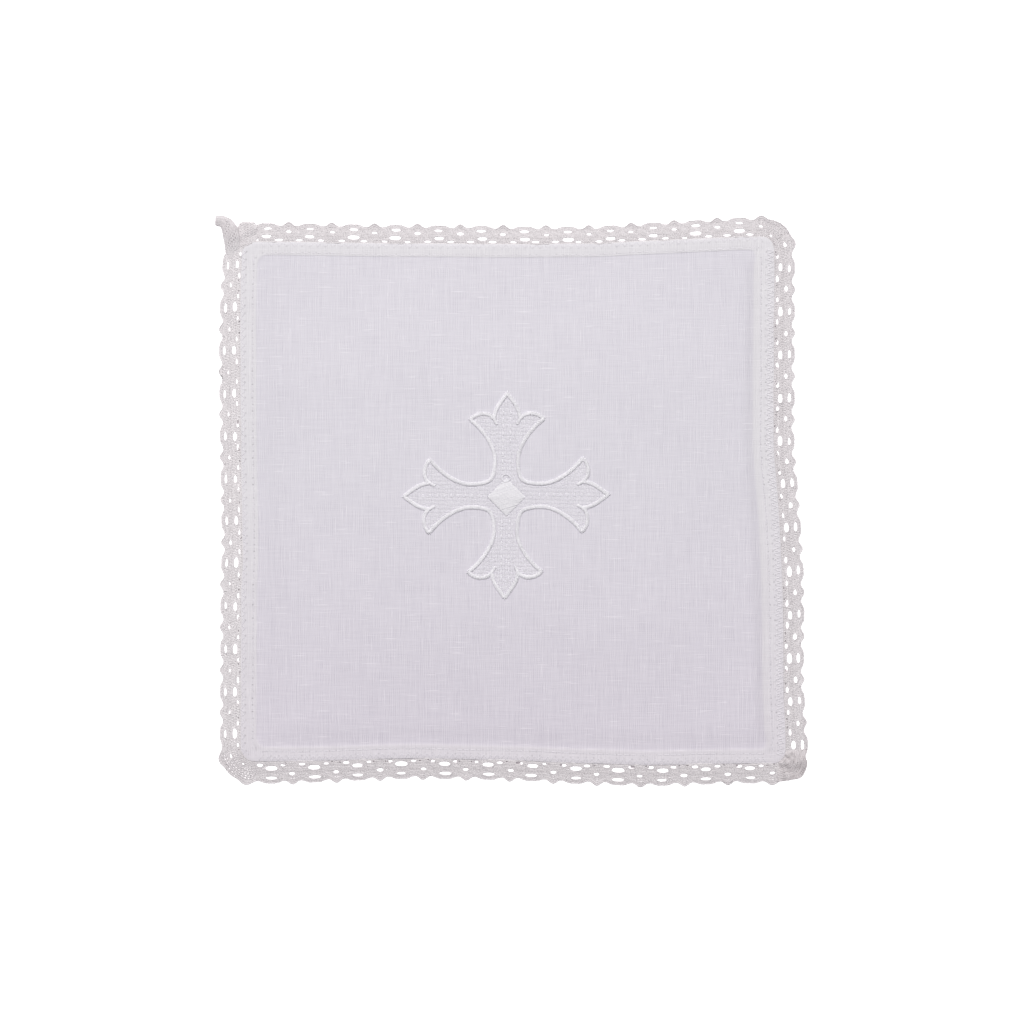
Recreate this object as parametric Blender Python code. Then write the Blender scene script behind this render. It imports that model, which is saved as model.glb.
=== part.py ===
"""Chalice pall: a stiff square linen cover with a turned hem, a torchon lace edging
sewn round it, and a cross fleury embroidered in white at its middle.

The pall lies flat with its face up. X runs to the right, Y up the face, Z out of it.
Sizes in the tables are millimetres; every mesh is built in metres.
"""
import math

import bmesh
import bpy
import numpy as np

MM = 0.001
GAP = 0.3

# Linen cover: rough size, and thickness at the stitched hem and the stiff panel inside it
LINEN_WIDTH = 162.0
LINEN_HEIGHT = 156.5
HEM_WIDTH = 4.8
HEM_THICK = 1.2
HEM_RIM_THICK = 0.8
CREASE_THICK = 1.0
PANEL_THICK = 2.2
PANEL_RISE_WIDTH = 4.0
PANEL_EDGE_WANDER = 0.6
PANEL_WANDER_LENGTH = 52.0
CORNER_RADIUS = 4.0
PANEL_CELLS = 13

# Where the linen's edge lies on each side, walked clockwise: along is X on the top and
# bottom sides and Y on the left and right ones, edge is the other coordinate
LINEN_SIDES = {
    "top": (("along", "edge"),
            (-73, 77.6), (-30, 77.1), (0, 76.9), (26, 77.1), (41, 77.8), (56, 78.6), (70, 79.2)),
    "right": (("along", "edge"),
              (75, 78.8), (40, 78.6), (15, 78.5), (2, 79.6), (-11, 80.7), (-35, 81.4),
              (-60, 81.5), (-73, 82.2)),
    "bottom": (("along", "edge"),
               (72, -78.6), (40, -79.1), (23, -78.6), (-3, -77.6), (-27, -77.1), (-70, -78.0)),
    "left": (("along", "edge"),
             (-72, -81.1), (-30, -81.0), (-12, -80.5), (5, -80.9), (30, -81.1), (61, -81.2),
             (75, -80.7)),
}
PATH_STEP = 1.0
CORNER_STEPS = 7

# Lace edging: repeats along each side, in the same clockwise walk as the linen's sides
LACE_REPEATS = 12
LACE_SIDES = {
    "top": {"first": -73.3, "pitch": 12.87, "reach": 5.9, "open": 0.90},
    "right": {"first": 70.0, "pitch": -13.05, "reach": 6.0, "open": 0.97},
    "bottom": {"first": 71.4, "pitch": -13.05, "reach": 6.3, "open": 1.08},
    "left": {"first": -69.8, "pitch": 12.78, "reach": 6.2, "open": 1.00},
}
LACE_THICK = 1.1
LACE_EDGE_THICK = 0.8
LACE_RIPPLE = 0.12
LACE_RIPPLE_LENGTH = 20.0
SCALLOP_DIP = 0.65
SCALLOP_SPREAD = 0.17
PICOT_RISE = 0.95
PICOT_HALF_WIDTH = 0.07
CORNER_DRAW_IN = 0.25
OUTLINE_STEPS = (-0.5, -0.44, -0.33, -0.22, -0.10, 0.0, 0.10, 0.22, 0.33, 0.44)

# Gaps of one repeat. shift is along the edging in pitches from the repeat's middle, depth
# is the distance in from the scalloped edge, length and width are the gap's own size.
LACE_GAPS = (
    {"name": "outer_slit", "shift": 0.0, "depth": 1.55, "length": 2.9, "width": 1.05, "corners": 6},
    {"name": "inner_gap", "shift": 0.0, "depth": 4.05, "length": 3.2, "width": 1.7, "corners": 8},
    {"name": "diamond", "shift": -0.5, "depth": 2.75, "length": 1.8, "width": 1.0, "corners": 4},
    {"name": "footing_before", "shift": -0.27, "depth": 4.75, "length": 2.1, "width": 1.1, "corners": 4},
    {"name": "footing_after", "shift": 0.27, "depth": 4.75, "length": 2.1, "width": 1.1, "corners": 4},
)
GAP_UNEVEN = 0.14
GAP_STRAY = 0.25
FOOTING_BAR = 0.4
FOOTING_STEP = 4
CLOSED_NEAR_CORNER = 79.0

# Loose end of the lace at the top left corner: a rolled strip that stands out past it
LOOSE_END_RADIUS = 1.0
LOOSE_END_FLATTEN = 0.58
LOOSE_END = (
    ("x", "y", "half_width"),
    (-83.2, 74.4, 1.5), (-83.7, 76.6, 2.0), (-84.1, 78.8, 2.35), (-84.3, 80.9, 2.35),
    (-84.9, 82.7, 2.1), (-86.3, 83.8, 1.7), (-87.8, 84.1, 1.4), (-88.5, 84.15, 0.9),
)
# Gathered and folded places of the edging: centre, half sizes and turn of each lump
GATHERS = (
    ("x", "y", "half_length", "half_width", "height", "turn"),
    (-79.0, 80.9, 3.6, 2.3, 1.9, -8),
    (85.6, -81.2, 5.2, 2.2, 2.2, 44),
    (83.2, -80.6, 4.0, 1.5, 1.7, 30),
)

# Embroidered cross: one half arm as four smooth runs from its tip to the crotch between
# two arms, each run a cubic with its end points and its two handles (across, along)
CROSS_CENTRE = (-1.65, 1.65)
CROSS_TURN = 0.7
CROSS_TIP = (0.0, 31.2)
CROSS_NOTCH = (3.8, 22.9)
CROSS_SIDE_TIP = (11.6, 22.8)
CROSS_WAIST = (3.45, 9.2)
CROSS_CROTCH = (5.05, 5.05)
HALF_ARM = (
    {"from": CROSS_TIP, "handles": ((1.4, 28.6), (4.5, 26.6)), "to": CROSS_NOTCH, "steps": 5},
    {"from": CROSS_NOTCH, "handles": ((5.0, 24.3), (8.5, 25.7)), "to": CROSS_SIDE_TIP, "steps": 5},
    {"from": CROSS_SIDE_TIP, "handles": ((8.6, 19.2), (3.3, 13.6)), "to": CROSS_WAIST, "steps": 7},
    {"from": CROSS_WAIST, "handles": ((3.45, 7.6), (4.15, 5.95)), "to": CROSS_CROTCH, "steps": 3},
)
CORD_WIDTH = 1.0
CORD_THICK = 0.7
GROUND_THICK = 0.4
LOZENGE_HALF = 5.6
LOZENGE_THICK = 0.9
LOZENGE_SHOULDER = 0.5
LOZENGE_FLAT = 0.62

FINISHES = {
    "linen_cover": {"colour": (0.72, 0.69, 0.75), "roughness": 0.85},
    "lace_edging": {"colour": (0.70, 0.66, 0.68), "roughness": 0.90},
    "cross_outline": {"colour": (0.80, 0.79, 0.82), "roughness": 0.50},
    "cross_ground": {"colour": (0.71, 0.69, 0.74), "roughness": 0.65},
    "cross_lozenge": {"colour": (0.79, 0.77, 0.81), "roughness": 0.45},
}


def clear_scene():
    for obj in list(bpy.data.objects):
        bpy.data.objects.remove(obj, do_unlink=True)


def table_rows(table):
    """The rows of a table whose first row names its columns."""
    names = table[0]
    return [dict(zip(names, row)) for row in table[1:]]


def eased(position, stations, values):
    """Value at a position, passing smoothly from each station to the next."""
    order = np.argsort(stations)
    stations = np.asarray(stations, float)[order]
    values = np.asarray(values, float)[order]
    place = float(np.clip(position, stations[0], stations[-1]))
    after = int(np.clip(np.searchsorted(stations, place), 1, len(stations) - 1))
    span = stations[after] - stations[after - 1]
    part = (place - stations[after - 1]) / span
    part = part * part * (3.0 - 2.0 * part)
    return values[after - 1] + part * (values[after] - values[after - 1])


def soft_wave(x, y, height, length):
    """A gentle unevenness, with a wave about every so many millimetres each way."""
    turn = 2.0 * math.pi / length
    return height * math.sin(turn * x + 1.3) * math.cos(0.87 * turn * y - 0.4)


def side_axis(side):
    """The axis that a side of the linen runs along, 0 for X and 1 for Y."""
    return 0 if side in ("top", "bottom") else 1


def side_edge(side, along):
    """The linen's edge coordinate on one side, at a place along it."""
    rows = table_rows(LINEN_SIDES[side])
    return eased(along, [row["along"] for row in rows], [row["edge"] for row in rows])


def side_point(side, along):
    """A point of the linen's edge, from its place along one side."""
    edge = side_edge(side, along)
    return np.array((along, edge) if side_axis(side) == 0 else (edge, along))


def linen_corner(one, other):
    """Where two neighbouring sides of the linen meet, before the corner is rounded."""
    level, upright = (one, other) if side_axis(one) == 0 else (other, one)
    x = math.copysign(0.5 * LINEN_WIDTH, 1.0 if upright == "right" else -1.0)
    y = math.copysign(0.5 * LINEN_HEIGHT, 1.0 if level == "top" else -1.0)
    for _ in range(4):
        x, y = side_edge(upright, y), side_edge(level, x)
    return np.array([x, y])


def rim_path():
    """Points of the linen's edge, clockwise from the top left, with the side of each."""
    names = list(LINEN_SIDES)
    points, sides = [], []
    for index, side in enumerate(names):
        following = names[(index + 1) % len(names)]
        start = linen_corner(names[index - 1], side)
        end = linen_corner(side, following)
        beyond = linen_corner(following, names[(index + 2) % len(names)])
        axis, next_axis = side_axis(side), side_axis(following)
        first = start[axis] + math.copysign(CORNER_RADIUS, end[axis] - start[axis])
        last = end[axis] - math.copysign(CORNER_RADIUS, end[axis] - start[axis])
        for along in np.linspace(first, last, int(abs(last - first) / PATH_STEP) + 1):
            points.append(side_point(side, along))
            sides.append(side)
        leaving = points[-1]
        onward = math.copysign(CORNER_RADIUS, beyond[next_axis] - end[next_axis])
        arriving = side_point(following, end[next_axis] + onward)
        centre = leaving + arriving - end
        for turn in np.linspace(0, math.pi / 2, CORNER_STEPS + 1)[1:-1]:
            points.append(centre + (leaving - centre) * math.cos(turn)
                          + (arriving - centre) * math.sin(turn))
            sides.append("corner")
    return np.array(points), sides


class Rim:
    """The linen's edge as a measured path: places on it and beside it."""

    def __init__(self):
        self.points, self.sides = rim_path()
        closed = np.vstack([self.points, self.points[:1]])
        steps = np.linalg.norm(np.diff(closed, axis=0), axis=1)
        self.length = steps.sum()
        self.marks = np.concatenate([[0.0], np.cumsum(steps)[:-1]])
        ahead = np.roll(self.points, -2, axis=0) - np.roll(self.points, 2, axis=0)
        heading = ahead / np.linalg.norm(ahead, axis=1)[:, None]
        self.normals = np.stack([-heading[:, 1], heading[:, 0]], axis=1)

    def mark_on(self, side, along):
        """Distance along the path of a place on one side."""
        chosen = [index for index, name in enumerate(self.sides) if name == side]
        coordinates = self.points[chosen, side_axis(side)]
        order = np.argsort(coordinates)
        return float(np.interp(along, coordinates[order], self.marks[chosen][order]))

    def place(self, mark, out):
        """The point at a distance along the path, moved out from the linen."""
        mark = mark % self.length
        marks = np.append(self.marks, self.length)
        spot, normal = [], []
        for axis in (0, 1):
            spot.append(np.interp(mark, marks, np.append(self.points[:, axis], self.points[0, axis])))
            normal.append(np.interp(mark, marks, np.append(self.normals[:, axis], self.normals[0, axis])))
        normal = np.array(normal) / np.linalg.norm(normal)
        return np.array(spot) + out * normal


def lace_repeats(rim):
    """Middle of every repeat, its pitch and the reach of the lace there, in walk order."""
    repeats = []
    for side, row in LACE_SIDES.items():
        for index in range(LACE_REPEATS):
            along = row["first"] + index * row["pitch"]
            repeats.append({"mark": rim.mark_on(side, along), "pitch": abs(row["pitch"]),
                            "reach": row["reach"], "open": row["open"],
                            "before_corner": index == LACE_REPEATS - 1})
    return repeats


def scallop(part):
    """How far the lace's edge stands in or out at a fraction of a repeat, from its middle."""
    bulge = math.exp(-(part / SCALLOP_SPREAD) ** 2)
    picot = max(0.0, 1.0 - abs(abs(part) - 0.5) / PICOT_HALF_WIDTH)
    return -SCALLOP_DIP * (1.0 - bulge) + PICOT_RISE * picot


def lace_outer_edge(rim, repeats):
    """The scalloped outline, with a picot at each half repeat and smooth corners."""
    outline = []
    for number, row in enumerate(repeats):
        for part in OUTLINE_STEPS:
            outline.append(rim.place(row["mark"] + part * row["pitch"], row["reach"] + scallop(part)))
        if row["before_corner"]:
            following = repeats[(number + 1) % len(repeats)]
            outline += corner_edge(rim, row, following)
    return outline


def corner_edge(rim, row, following):
    """The smooth stretch of the outline between the picots on either side of a corner."""
    start = row["mark"] + 0.5 * row["pitch"]
    span = (following["mark"] - 0.5 * following["pitch"] - start) % rim.length
    if span > 0.5 * rim.length:
        return []
    stretch = [rim.place(start, row["reach"] + scallop(0.5))]
    for part in np.linspace(0.0, 1.0, CORNER_STEPS + 2)[1:-1]:
        reach = row["reach"] + part * (following["reach"] - row["reach"])
        stretch.append(rim.place(start + part * span, reach - CORNER_DRAW_IN))
    return stretch


def lace_footing_edge(rim):
    """The inner edge of the lace, just outside the linen, with its corners rounded."""
    edge = []
    for index, (mark, side) in enumerate(zip(rim.marks, rim.sides)):
        if side == "corner" or index % FOOTING_STEP == 0:
            edge.append(rim.place(mark, GAP))
    return edge


def gap_outline(rim, mark, out, length, width, corners):
    """An oval gap in the lace, with its long way along the edging."""
    outline = []
    for index in range(corners):
        turn = 2.0 * math.pi * index / corners
        outline.append(rim.place(mark + 0.5 * length * math.cos(turn), out + 0.5 * width * math.sin(turn)))
    return outline


def lace_gaps(rim, repeats):
    """Outlines of the gaps of every repeat, each a little uneven in place and size."""
    uneven = np.random.default_rng(12)
    gaps = []
    for row in repeats:
        for gap in LACE_GAPS:
            swell = row["open"] * (1.0 + GAP_UNEVEN * uneven.uniform(-1.0, 1.0))
            stray = GAP_STRAY * uneven.uniform(-1.0, 1.0)
            mark = row["mark"] + gap["shift"] * row["pitch"] + stray
            half = 0.5 * gap["width"] * swell
            out = max(row["reach"] - gap["depth"], GAP + FOOTING_BAR + half)
            middle = rim.place(mark, out)
            near_corner = min(abs(middle[0]), abs(middle[1])) > CLOSED_NEAR_CORNER
            if near_corner or rim.sides[int(np.searchsorted(rim.marks, mark)) - 1] == "corner":
                continue
            gaps.append(gap_outline(rim, mark, out, gap["length"] * swell, 2.0 * half, gap["corners"]))
    return gaps


def flat_solid(name, outlines, thick, base):
    """A flat piece from its outline and the outlines of its holes, as a mesh object."""
    curve = bpy.data.curves.new(name, "CURVE")
    curve.dimensions = "2D"
    curve.fill_mode = "BOTH"
    curve.extrude = 0.5 * thick * MM
    for outline in outlines:
        spline = curve.splines.new("POLY")
        spline.points.add(len(outline) - 1)
        for point, (x, y) in zip(spline.points, outline):
            point.co = (x * MM, y * MM, 0.0, 1.0)
        spline.use_cyclic_u = True
    drawn = bpy.data.objects.new(name + "_outline", curve)
    bpy.context.scene.collection.objects.link(drawn)
    drawn.location.z = (base + 0.5 * thick) * MM
    bpy.context.view_layer.update()
    evaluated = drawn.evaluated_get(bpy.context.evaluated_depsgraph_get())
    mesh = bpy.data.meshes.new_from_object(evaluated)
    mesh.transform(drawn.matrix_world)
    bpy.data.objects.remove(drawn, do_unlink=True)
    solid = bmesh.new()
    solid.from_mesh(mesh)
    bmesh.ops.remove_doubles(solid, verts=solid.verts, dist=0.00001)
    bmesh.ops.recalc_face_normals(solid, faces=solid.faces)
    solid.to_mesh(mesh)
    solid.free()
    mesh.name = name
    return new_piece(name, mesh)


def new_piece(name, mesh):
    piece = bpy.data.objects.new(name, mesh)
    collection = bpy.data.collections.get("chalice_pall")
    collection.objects.link(piece)
    return piece


def finish_piece(piece):
    """Give a piece its own material."""
    look = FINISHES[piece.name]
    material = bpy.data.materials.new(piece.name)
    material.use_nodes = True
    shader = material.node_tree.nodes["Principled BSDF"]
    shader.inputs["Base Color"].default_value = (*look["colour"], 1.0)
    shader.inputs["Roughness"].default_value = look["roughness"]
    shader.inputs["Metallic"].default_value = 0.0
    piece.data.materials.clear()
    piece.data.materials.append(material)


def apply_union(piece, lump):
    """Join a lump to a piece, leaving one closed body."""
    joint = piece.modifiers.new("join", "BOOLEAN")
    joint.operation = "UNION"
    joint.solver = "EXACT"
    joint.object = lump
    bpy.context.view_layer.update()
    evaluated = piece.evaluated_get(bpy.context.evaluated_depsgraph_get())
    joined = bpy.data.meshes.new_from_object(evaluated)
    piece.modifiers.clear()
    piece.data = joined
    bpy.data.objects.remove(lump, do_unlink=True)


def loose_end():
    """The rolled end of the lace, an oval strip that narrows to a round tip."""
    rows = table_rows(LOOSE_END)
    curve = bpy.data.curves.new("loose_end", "CURVE")
    curve.dimensions = "3D"
    curve.bevel_depth = LOOSE_END_RADIUS * MM
    curve.bevel_resolution = 2
    curve.use_fill_caps = True
    spline = curve.splines.new("POLY")
    spline.points.add(len(rows) - 1)
    for point, row in zip(spline.points, rows):
        point.co = (row["x"] * MM, row["y"] * MM, 0.0, 1.0)
        point.radius = row["half_width"]
    drawn = bpy.data.objects.new("loose_end_path", curve)
    bpy.context.scene.collection.objects.link(drawn)
    bpy.context.view_layer.update()
    evaluated = drawn.evaluated_get(bpy.context.evaluated_depsgraph_get())
    mesh = bpy.data.meshes.new_from_object(evaluated)
    bpy.data.objects.remove(drawn, do_unlink=True)
    solid = bmesh.new()
    solid.from_mesh(mesh)
    bmesh.ops.remove_doubles(solid, verts=solid.verts, dist=0.00001)
    bmesh.ops.recalc_face_normals(solid, faces=solid.faces)
    lowest = min(vertex.co.z for vertex in solid.verts)
    for vertex in solid.verts:
        vertex.co.z = (vertex.co.z - lowest) * LOOSE_END_FLATTEN + 0.15 * MM
    solid.to_mesh(mesh)
    solid.free()
    return new_piece("loose_end", mesh)


def gather(row, number):
    """A low lump where the lace is gathered or folded over on itself."""
    solid = bmesh.new()
    bmesh.ops.create_uvsphere(solid, u_segments=14, v_segments=7, radius=1.0)
    turn = math.radians(row["turn"])
    half_height = 0.5 * (row["height"] - 0.1)
    for vertex in solid.verts:
        along = vertex.co.x * row["half_length"]
        across = vertex.co.y * row["half_width"]
        x = row["x"] + along * math.cos(turn) - across * math.sin(turn)
        y = row["y"] + along * math.sin(turn) + across * math.cos(turn)
        z = 0.1 + half_height * (1.0 + vertex.co.z)
        vertex.co = (x * MM, y * MM, z * MM)
    mesh = bpy.data.meshes.new("gather")
    solid.to_mesh(mesh)
    solid.free()
    return new_piece("gather_%d" % number, mesh)


def lace_edging(rim):
    """The lace strip round the linen, with its gaps cut through and its loose end."""
    repeats = lace_repeats(rim)
    outlines = [lace_outer_edge(rim, repeats), lace_footing_edge(rim)] + lace_gaps(rim, repeats)
    piece = flat_solid("lace_edging", outlines, LACE_THICK, 0.0)
    for vertex in piece.data.vertices:
        if vertex.co.z < 0.5 * LACE_THICK * MM:
            continue
        x, y = vertex.co.x / MM, vertex.co.y / MM
        edge = np.linalg.norm(rim.points - np.array([x, y]), axis=1).min()
        outward = float(np.clip((edge - 3.6) / 2.4, 0.0, 1.0))
        ripple = soft_wave(x, y, LACE_RIPPLE, LACE_RIPPLE_LENGTH)
        thick = LACE_THICK + (LACE_EDGE_THICK - LACE_THICK) * outward + ripple
        vertex.co.z = thick * MM
    apply_union(piece, loose_end())
    for number, row in enumerate(table_rows(GATHERS)):
        apply_union(piece, gather(row, number))
    finish_piece(piece)
    return piece


def panel_height(inside, x, y):
    """Thickness of the linen cover at a distance in from its edge."""
    wander = soft_wave(x, y, PANEL_EDGE_WANDER, PANEL_WANDER_LENGTH)
    stations = (0.0, 0.5, 2.2, HEM_WIDTH - 0.7, HEM_WIDTH,
                HEM_WIDTH + 0.5 * PANEL_RISE_WIDTH + wander, HEM_WIDTH + PANEL_RISE_WIDTH + wander)
    heights = (HEM_RIM_THICK, HEM_THICK - 0.05, HEM_THICK, HEM_THICK, CREASE_THICK,
               0.45 * CREASE_THICK + 0.55 * PANEL_THICK, PANEL_THICK)
    return float(np.interp(inside, stations, heights))


def grid_lines():
    """Places of the grid's lines across the linen, 0 to 1, close together at the hem."""
    rows = (0.0, 0.5, 2.2, HEM_WIDTH - 0.7, HEM_WIDTH, HEM_WIDTH + 0.5 * PANEL_RISE_WIDTH,
            HEM_WIDTH + PANEL_RISE_WIDTH + PANEL_EDGE_WANDER)
    near = [row / LINEN_WIDTH for row in rows]
    middle = np.linspace(near[-1], 1.0 - near[-1], PANEL_CELLS + 1)[1:-1]
    return near + list(middle) + [1.0 - value for value in reversed(near)]


def linen_point(across, up):
    """Place on the linen's outline-following grid, with its corners rounded."""
    x = LINEN_WIDTH * (across - 0.5)
    y = LINEN_HEIGHT * (up - 0.5)
    for _ in range(3):
        left, right = side_edge("left", y), side_edge("right", y)
        bottom, top = side_edge("bottom", x), side_edge("top", x)
        x = left + (right - left) * across
        y = bottom + (top - bottom) * up
    centre_x = min(max(x, left + CORNER_RADIUS), right - CORNER_RADIUS)
    centre_y = min(max(y, bottom + CORNER_RADIUS), top - CORNER_RADIUS)
    side, level = x - centre_x, y - centre_y
    reach = math.hypot(side, level)
    if min(abs(side), abs(level)) > 0.0:
        draw_in = max(abs(side), abs(level)) / reach
        x, y = centre_x + side * draw_in, centre_y + level * draw_in
        inside = CORNER_RADIUS - reach * draw_in
    else:
        inside = min(x - left, right - x, y - bottom, top - y)
    return x, y, max(inside, 0.0)


def linen_cover():
    """The linen pocket: a flat stiff panel inside a thinner stitched hem."""
    lines = grid_lines()
    count = len(lines)
    solid = bmesh.new()
    bmesh.ops.create_grid(solid, x_segments=count - 1, y_segments=count - 1, size=0.5)
    for vertex in solid.verts:
        column = int(round((vertex.co.x + 0.5) * (count - 1)))
        row = int(round((vertex.co.y + 0.5) * (count - 1)))
        x, y, inside = linen_point(lines[column], lines[row])
        vertex.co = (x * MM, y * MM, panel_height(inside, x, y) * MM)
    rim_edges = [edge for edge in solid.edges if edge.is_boundary]
    walls = bmesh.ops.extrude_edge_only(solid, edges=rim_edges)["geom"]
    for part in walls:
        if isinstance(part, bmesh.types.BMVert):
            part.co.z = 0.0
    floor_edges = [part for part in walls if isinstance(part, bmesh.types.BMEdge) and part.is_boundary]
    bmesh.ops.edgeloop_fill(solid, edges=floor_edges)
    bmesh.ops.recalc_face_normals(solid, faces=solid.faces)
    mesh = bpy.data.meshes.new("linen_cover")
    solid.to_mesh(mesh)
    solid.free()
    piece = new_piece("linen_cover", mesh)
    mesh.shade_smooth()
    mesh.set_sharp_from_angle(angle=math.radians(50))
    finish_piece(piece)
    return piece


def cubic(start, handles, end, steps):
    """Points of a cubic run, without its last one."""
    start, first, second, end = (np.array(point, float) for point in (start, *handles, end))
    points = []
    for part in np.linspace(0.0, 1.0, steps, endpoint=False):
        rest = 1.0 - part
        points.append(rest ** 3 * start + 3 * rest ** 2 * part * first
                      + 3 * rest * part ** 2 * second + part ** 3 * end)
    return points


def cross_centreline():
    """The cord's middle line round the whole cross, clockwise from the top arm's tip."""
    half = []
    for run in HALF_ARM:
        half += cubic(run["from"], run["handles"], run["to"], run["steps"])
    half.append(np.array(CROSS_CROTCH))
    mirrored = [np.array([point[1], point[0]]) for point in reversed(half[:-1])]
    quarter = half + mirrored[:-1]
    outline = []
    for arm in range(4):
        turn = -math.radians(90.0 * arm - CROSS_TURN)
        spin = np.array([[math.cos(turn), -math.sin(turn)], [math.sin(turn), math.cos(turn)]])
        outline += [spin @ point + np.array(CROSS_CENTRE) for point in quarter]
    return np.array(outline)


def distance_to(points, outline):
    """Distance of each point from a closed outline."""
    start, end = outline, np.roll(outline, -1, axis=0)
    along = end - start
    length = (along ** 2).sum(axis=1)
    offset = points[:, None, :] - start[None, :, :]
    part = np.clip((offset * along[None, :, :]).sum(axis=2) / length[None, :], 0.0, 1.0)
    nearest = start[None, :, :] + part[:, :, None] * along[None, :, :]
    return np.linalg.norm(points[:, None, :] - nearest, axis=2).min(axis=1)


def offset_outline(outline, out):
    """A clockwise outline moved outward (or inward, where negative), with mitred corners."""
    before = outline - np.roll(outline, 1, axis=0)
    after = np.roll(outline, -1, axis=0) - outline
    before /= np.linalg.norm(before, axis=1)[:, None]
    after /= np.linalg.norm(after, axis=1)[:, None]
    normal_before = np.stack([-before[:, 1], before[:, 0]], axis=1)
    normal_after = np.stack([-after[:, 1], after[:, 0]], axis=1)
    mitre = normal_before + normal_after
    mitre /= (mitre * normal_before).sum(axis=1)[:, None]
    moved = outline + out * mitre
    kept = distance_to(moved, outline) > 0.97 * abs(out)
    return moved[kept]


def cross_pieces():
    """The cross: its satin cord, the stitched ground inside it and the lozenge."""
    base = PANEL_THICK + GAP
    middle = cross_centreline()
    half = 0.5 * CORD_WIDTH
    outer, inner = offset_outline(middle, half), offset_outline(middle, -half)
    cord = flat_solid("cross_outline", [outer, inner], CORD_THICK, base)
    ground_edge = offset_outline(middle, -half - GAP)
    hole = lozenge_outline(LOZENGE_HALF + GAP * math.sqrt(2.0))
    ground = flat_solid("cross_ground", [ground_edge, hole], GROUND_THICK, base)
    lozenge = lozenge_solid(base)
    for piece in (cord, ground, lozenge):
        finish_piece(piece)
    return [cord, ground, lozenge]


def lozenge_outline(half):
    """The four corners of the middle lozenge."""
    corners = []
    for quarter in range(4):
        turn = math.radians(90.0 * quarter + CROSS_TURN)
        corners.append(np.array(CROSS_CENTRE) + half * np.array([math.cos(turn), math.sin(turn)]))
    return corners


def lozenge_solid(base):
    """The satin lozenge, crowned a little towards its middle."""
    piece = flat_solid("cross_lozenge", [lozenge_outline(LOZENGE_HALF)], LOZENGE_SHOULDER, base)
    solid = bmesh.new()
    solid.from_mesh(piece.data)
    solid.faces.ensure_lookup_table()
    bmesh.ops.dissolve_limit(solid, angle_limit=0.01, verts=solid.verts, edges=solid.edges)
    top = max(solid.faces, key=lambda face: face.calc_center_median().z)
    width = LOZENGE_HALF * (1.0 - LOZENGE_FLAT) / math.sqrt(2.0)
    rise = LOZENGE_THICK - LOZENGE_SHOULDER
    bmesh.ops.inset_region(solid, faces=[top], thickness=width * MM, depth=rise * MM)
    solid.to_mesh(piece.data)
    solid.free()
    return piece


def centre_on_origin(pieces):
    """Move every piece so that the pall's box stands centred over the origin."""
    corners = np.array([vertex.co[:] for piece in pieces for vertex in piece.data.vertices])
    middle = 0.5 * (corners.min(axis=0) + corners.max(axis=0))
    for piece in pieces:
        for vertex in piece.data.vertices:
            vertex.co.x -= middle[0]
            vertex.co.y -= middle[1]


def main():
    clear_scene()
    collection = bpy.data.collections.new("chalice_pall")
    bpy.context.scene.collection.children.link(collection)
    rim = Rim()
    pieces = [linen_cover(), lace_edging(rim)] + cross_pieces()
    centre_on_origin(pieces)


main()
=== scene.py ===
"""Looks of the chalice pall: the woven linen cover with its stitched hem, the torchon lace
edging made of its own threads, and the cross worked in satin and filling stitches.

Tables and working sizes are millimetres; meshes are built in metres. The tables' places
are the pall's own, as in its CAD source, and on_pall() moves them into the frame.
"""
import math

import bpy
import numpy as np
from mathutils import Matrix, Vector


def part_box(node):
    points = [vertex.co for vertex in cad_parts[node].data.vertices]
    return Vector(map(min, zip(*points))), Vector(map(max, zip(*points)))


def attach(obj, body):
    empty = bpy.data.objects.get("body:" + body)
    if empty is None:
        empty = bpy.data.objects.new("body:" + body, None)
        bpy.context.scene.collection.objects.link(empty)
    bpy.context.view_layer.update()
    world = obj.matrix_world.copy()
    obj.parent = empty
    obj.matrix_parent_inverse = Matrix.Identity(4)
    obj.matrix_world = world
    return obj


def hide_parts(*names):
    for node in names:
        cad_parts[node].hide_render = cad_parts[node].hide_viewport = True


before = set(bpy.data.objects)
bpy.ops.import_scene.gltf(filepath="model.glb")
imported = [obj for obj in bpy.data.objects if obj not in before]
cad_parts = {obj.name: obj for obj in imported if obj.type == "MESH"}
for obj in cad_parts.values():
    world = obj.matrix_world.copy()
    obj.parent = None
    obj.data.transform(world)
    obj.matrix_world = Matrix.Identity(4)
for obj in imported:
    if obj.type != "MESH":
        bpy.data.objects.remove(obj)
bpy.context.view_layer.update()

MM = 0.001
PER_MM = (1.0 / MM, 1.0 / MM, 1.0 / MM)

# Camera: straight above the pall, at the photograph's scale
MM_PER_PIXEL = 0.30
PHOTO_PIXELS = 1024
VIEW_CENTRE = (0.15, -3.3)
LENS = 100.0
SENSOR = 36.0

# Linen cover: heights over the surface that it lies on, and distances in from its edge
RIM_THICK = 1.0
HEM_THICK = 1.25
HEM_SIDES = {  # how far in the turned hem ends, how softly, where its straight stitches run, and how dark the painted shade of its stitches' holes is
    "top": {"ledge": 3.9, "soft": 0.3, "row": 3.3, "holes": 0.25},
    "right": {"ledge": 6.3, "soft": 0.8, "row": 3.9, "holes": 0.55},
    "bottom": {"ledge": 4.3, "soft": 1.2, "row": 2.9, "holes": 0.35},
    "left": {"ledge": 4.7, "soft": 0.6, "row": 3.6, "holes": 0.65},
}
ZIGZAGS = {  # how far in the zigzag reaches, half its step along the hem, and its height
    "top": {"inner": 1.35, "half": 1.15, "lift": -0.02},
    "right": {"inner": 2.50, "half": 0.75, "lift": 0.03},
    "bottom": {"inner": 1.70, "half": 0.95, "lift": 0.03},
    "left": {"inner": 1.35, "half": 1.15, "lift": 0.00},
}
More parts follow.
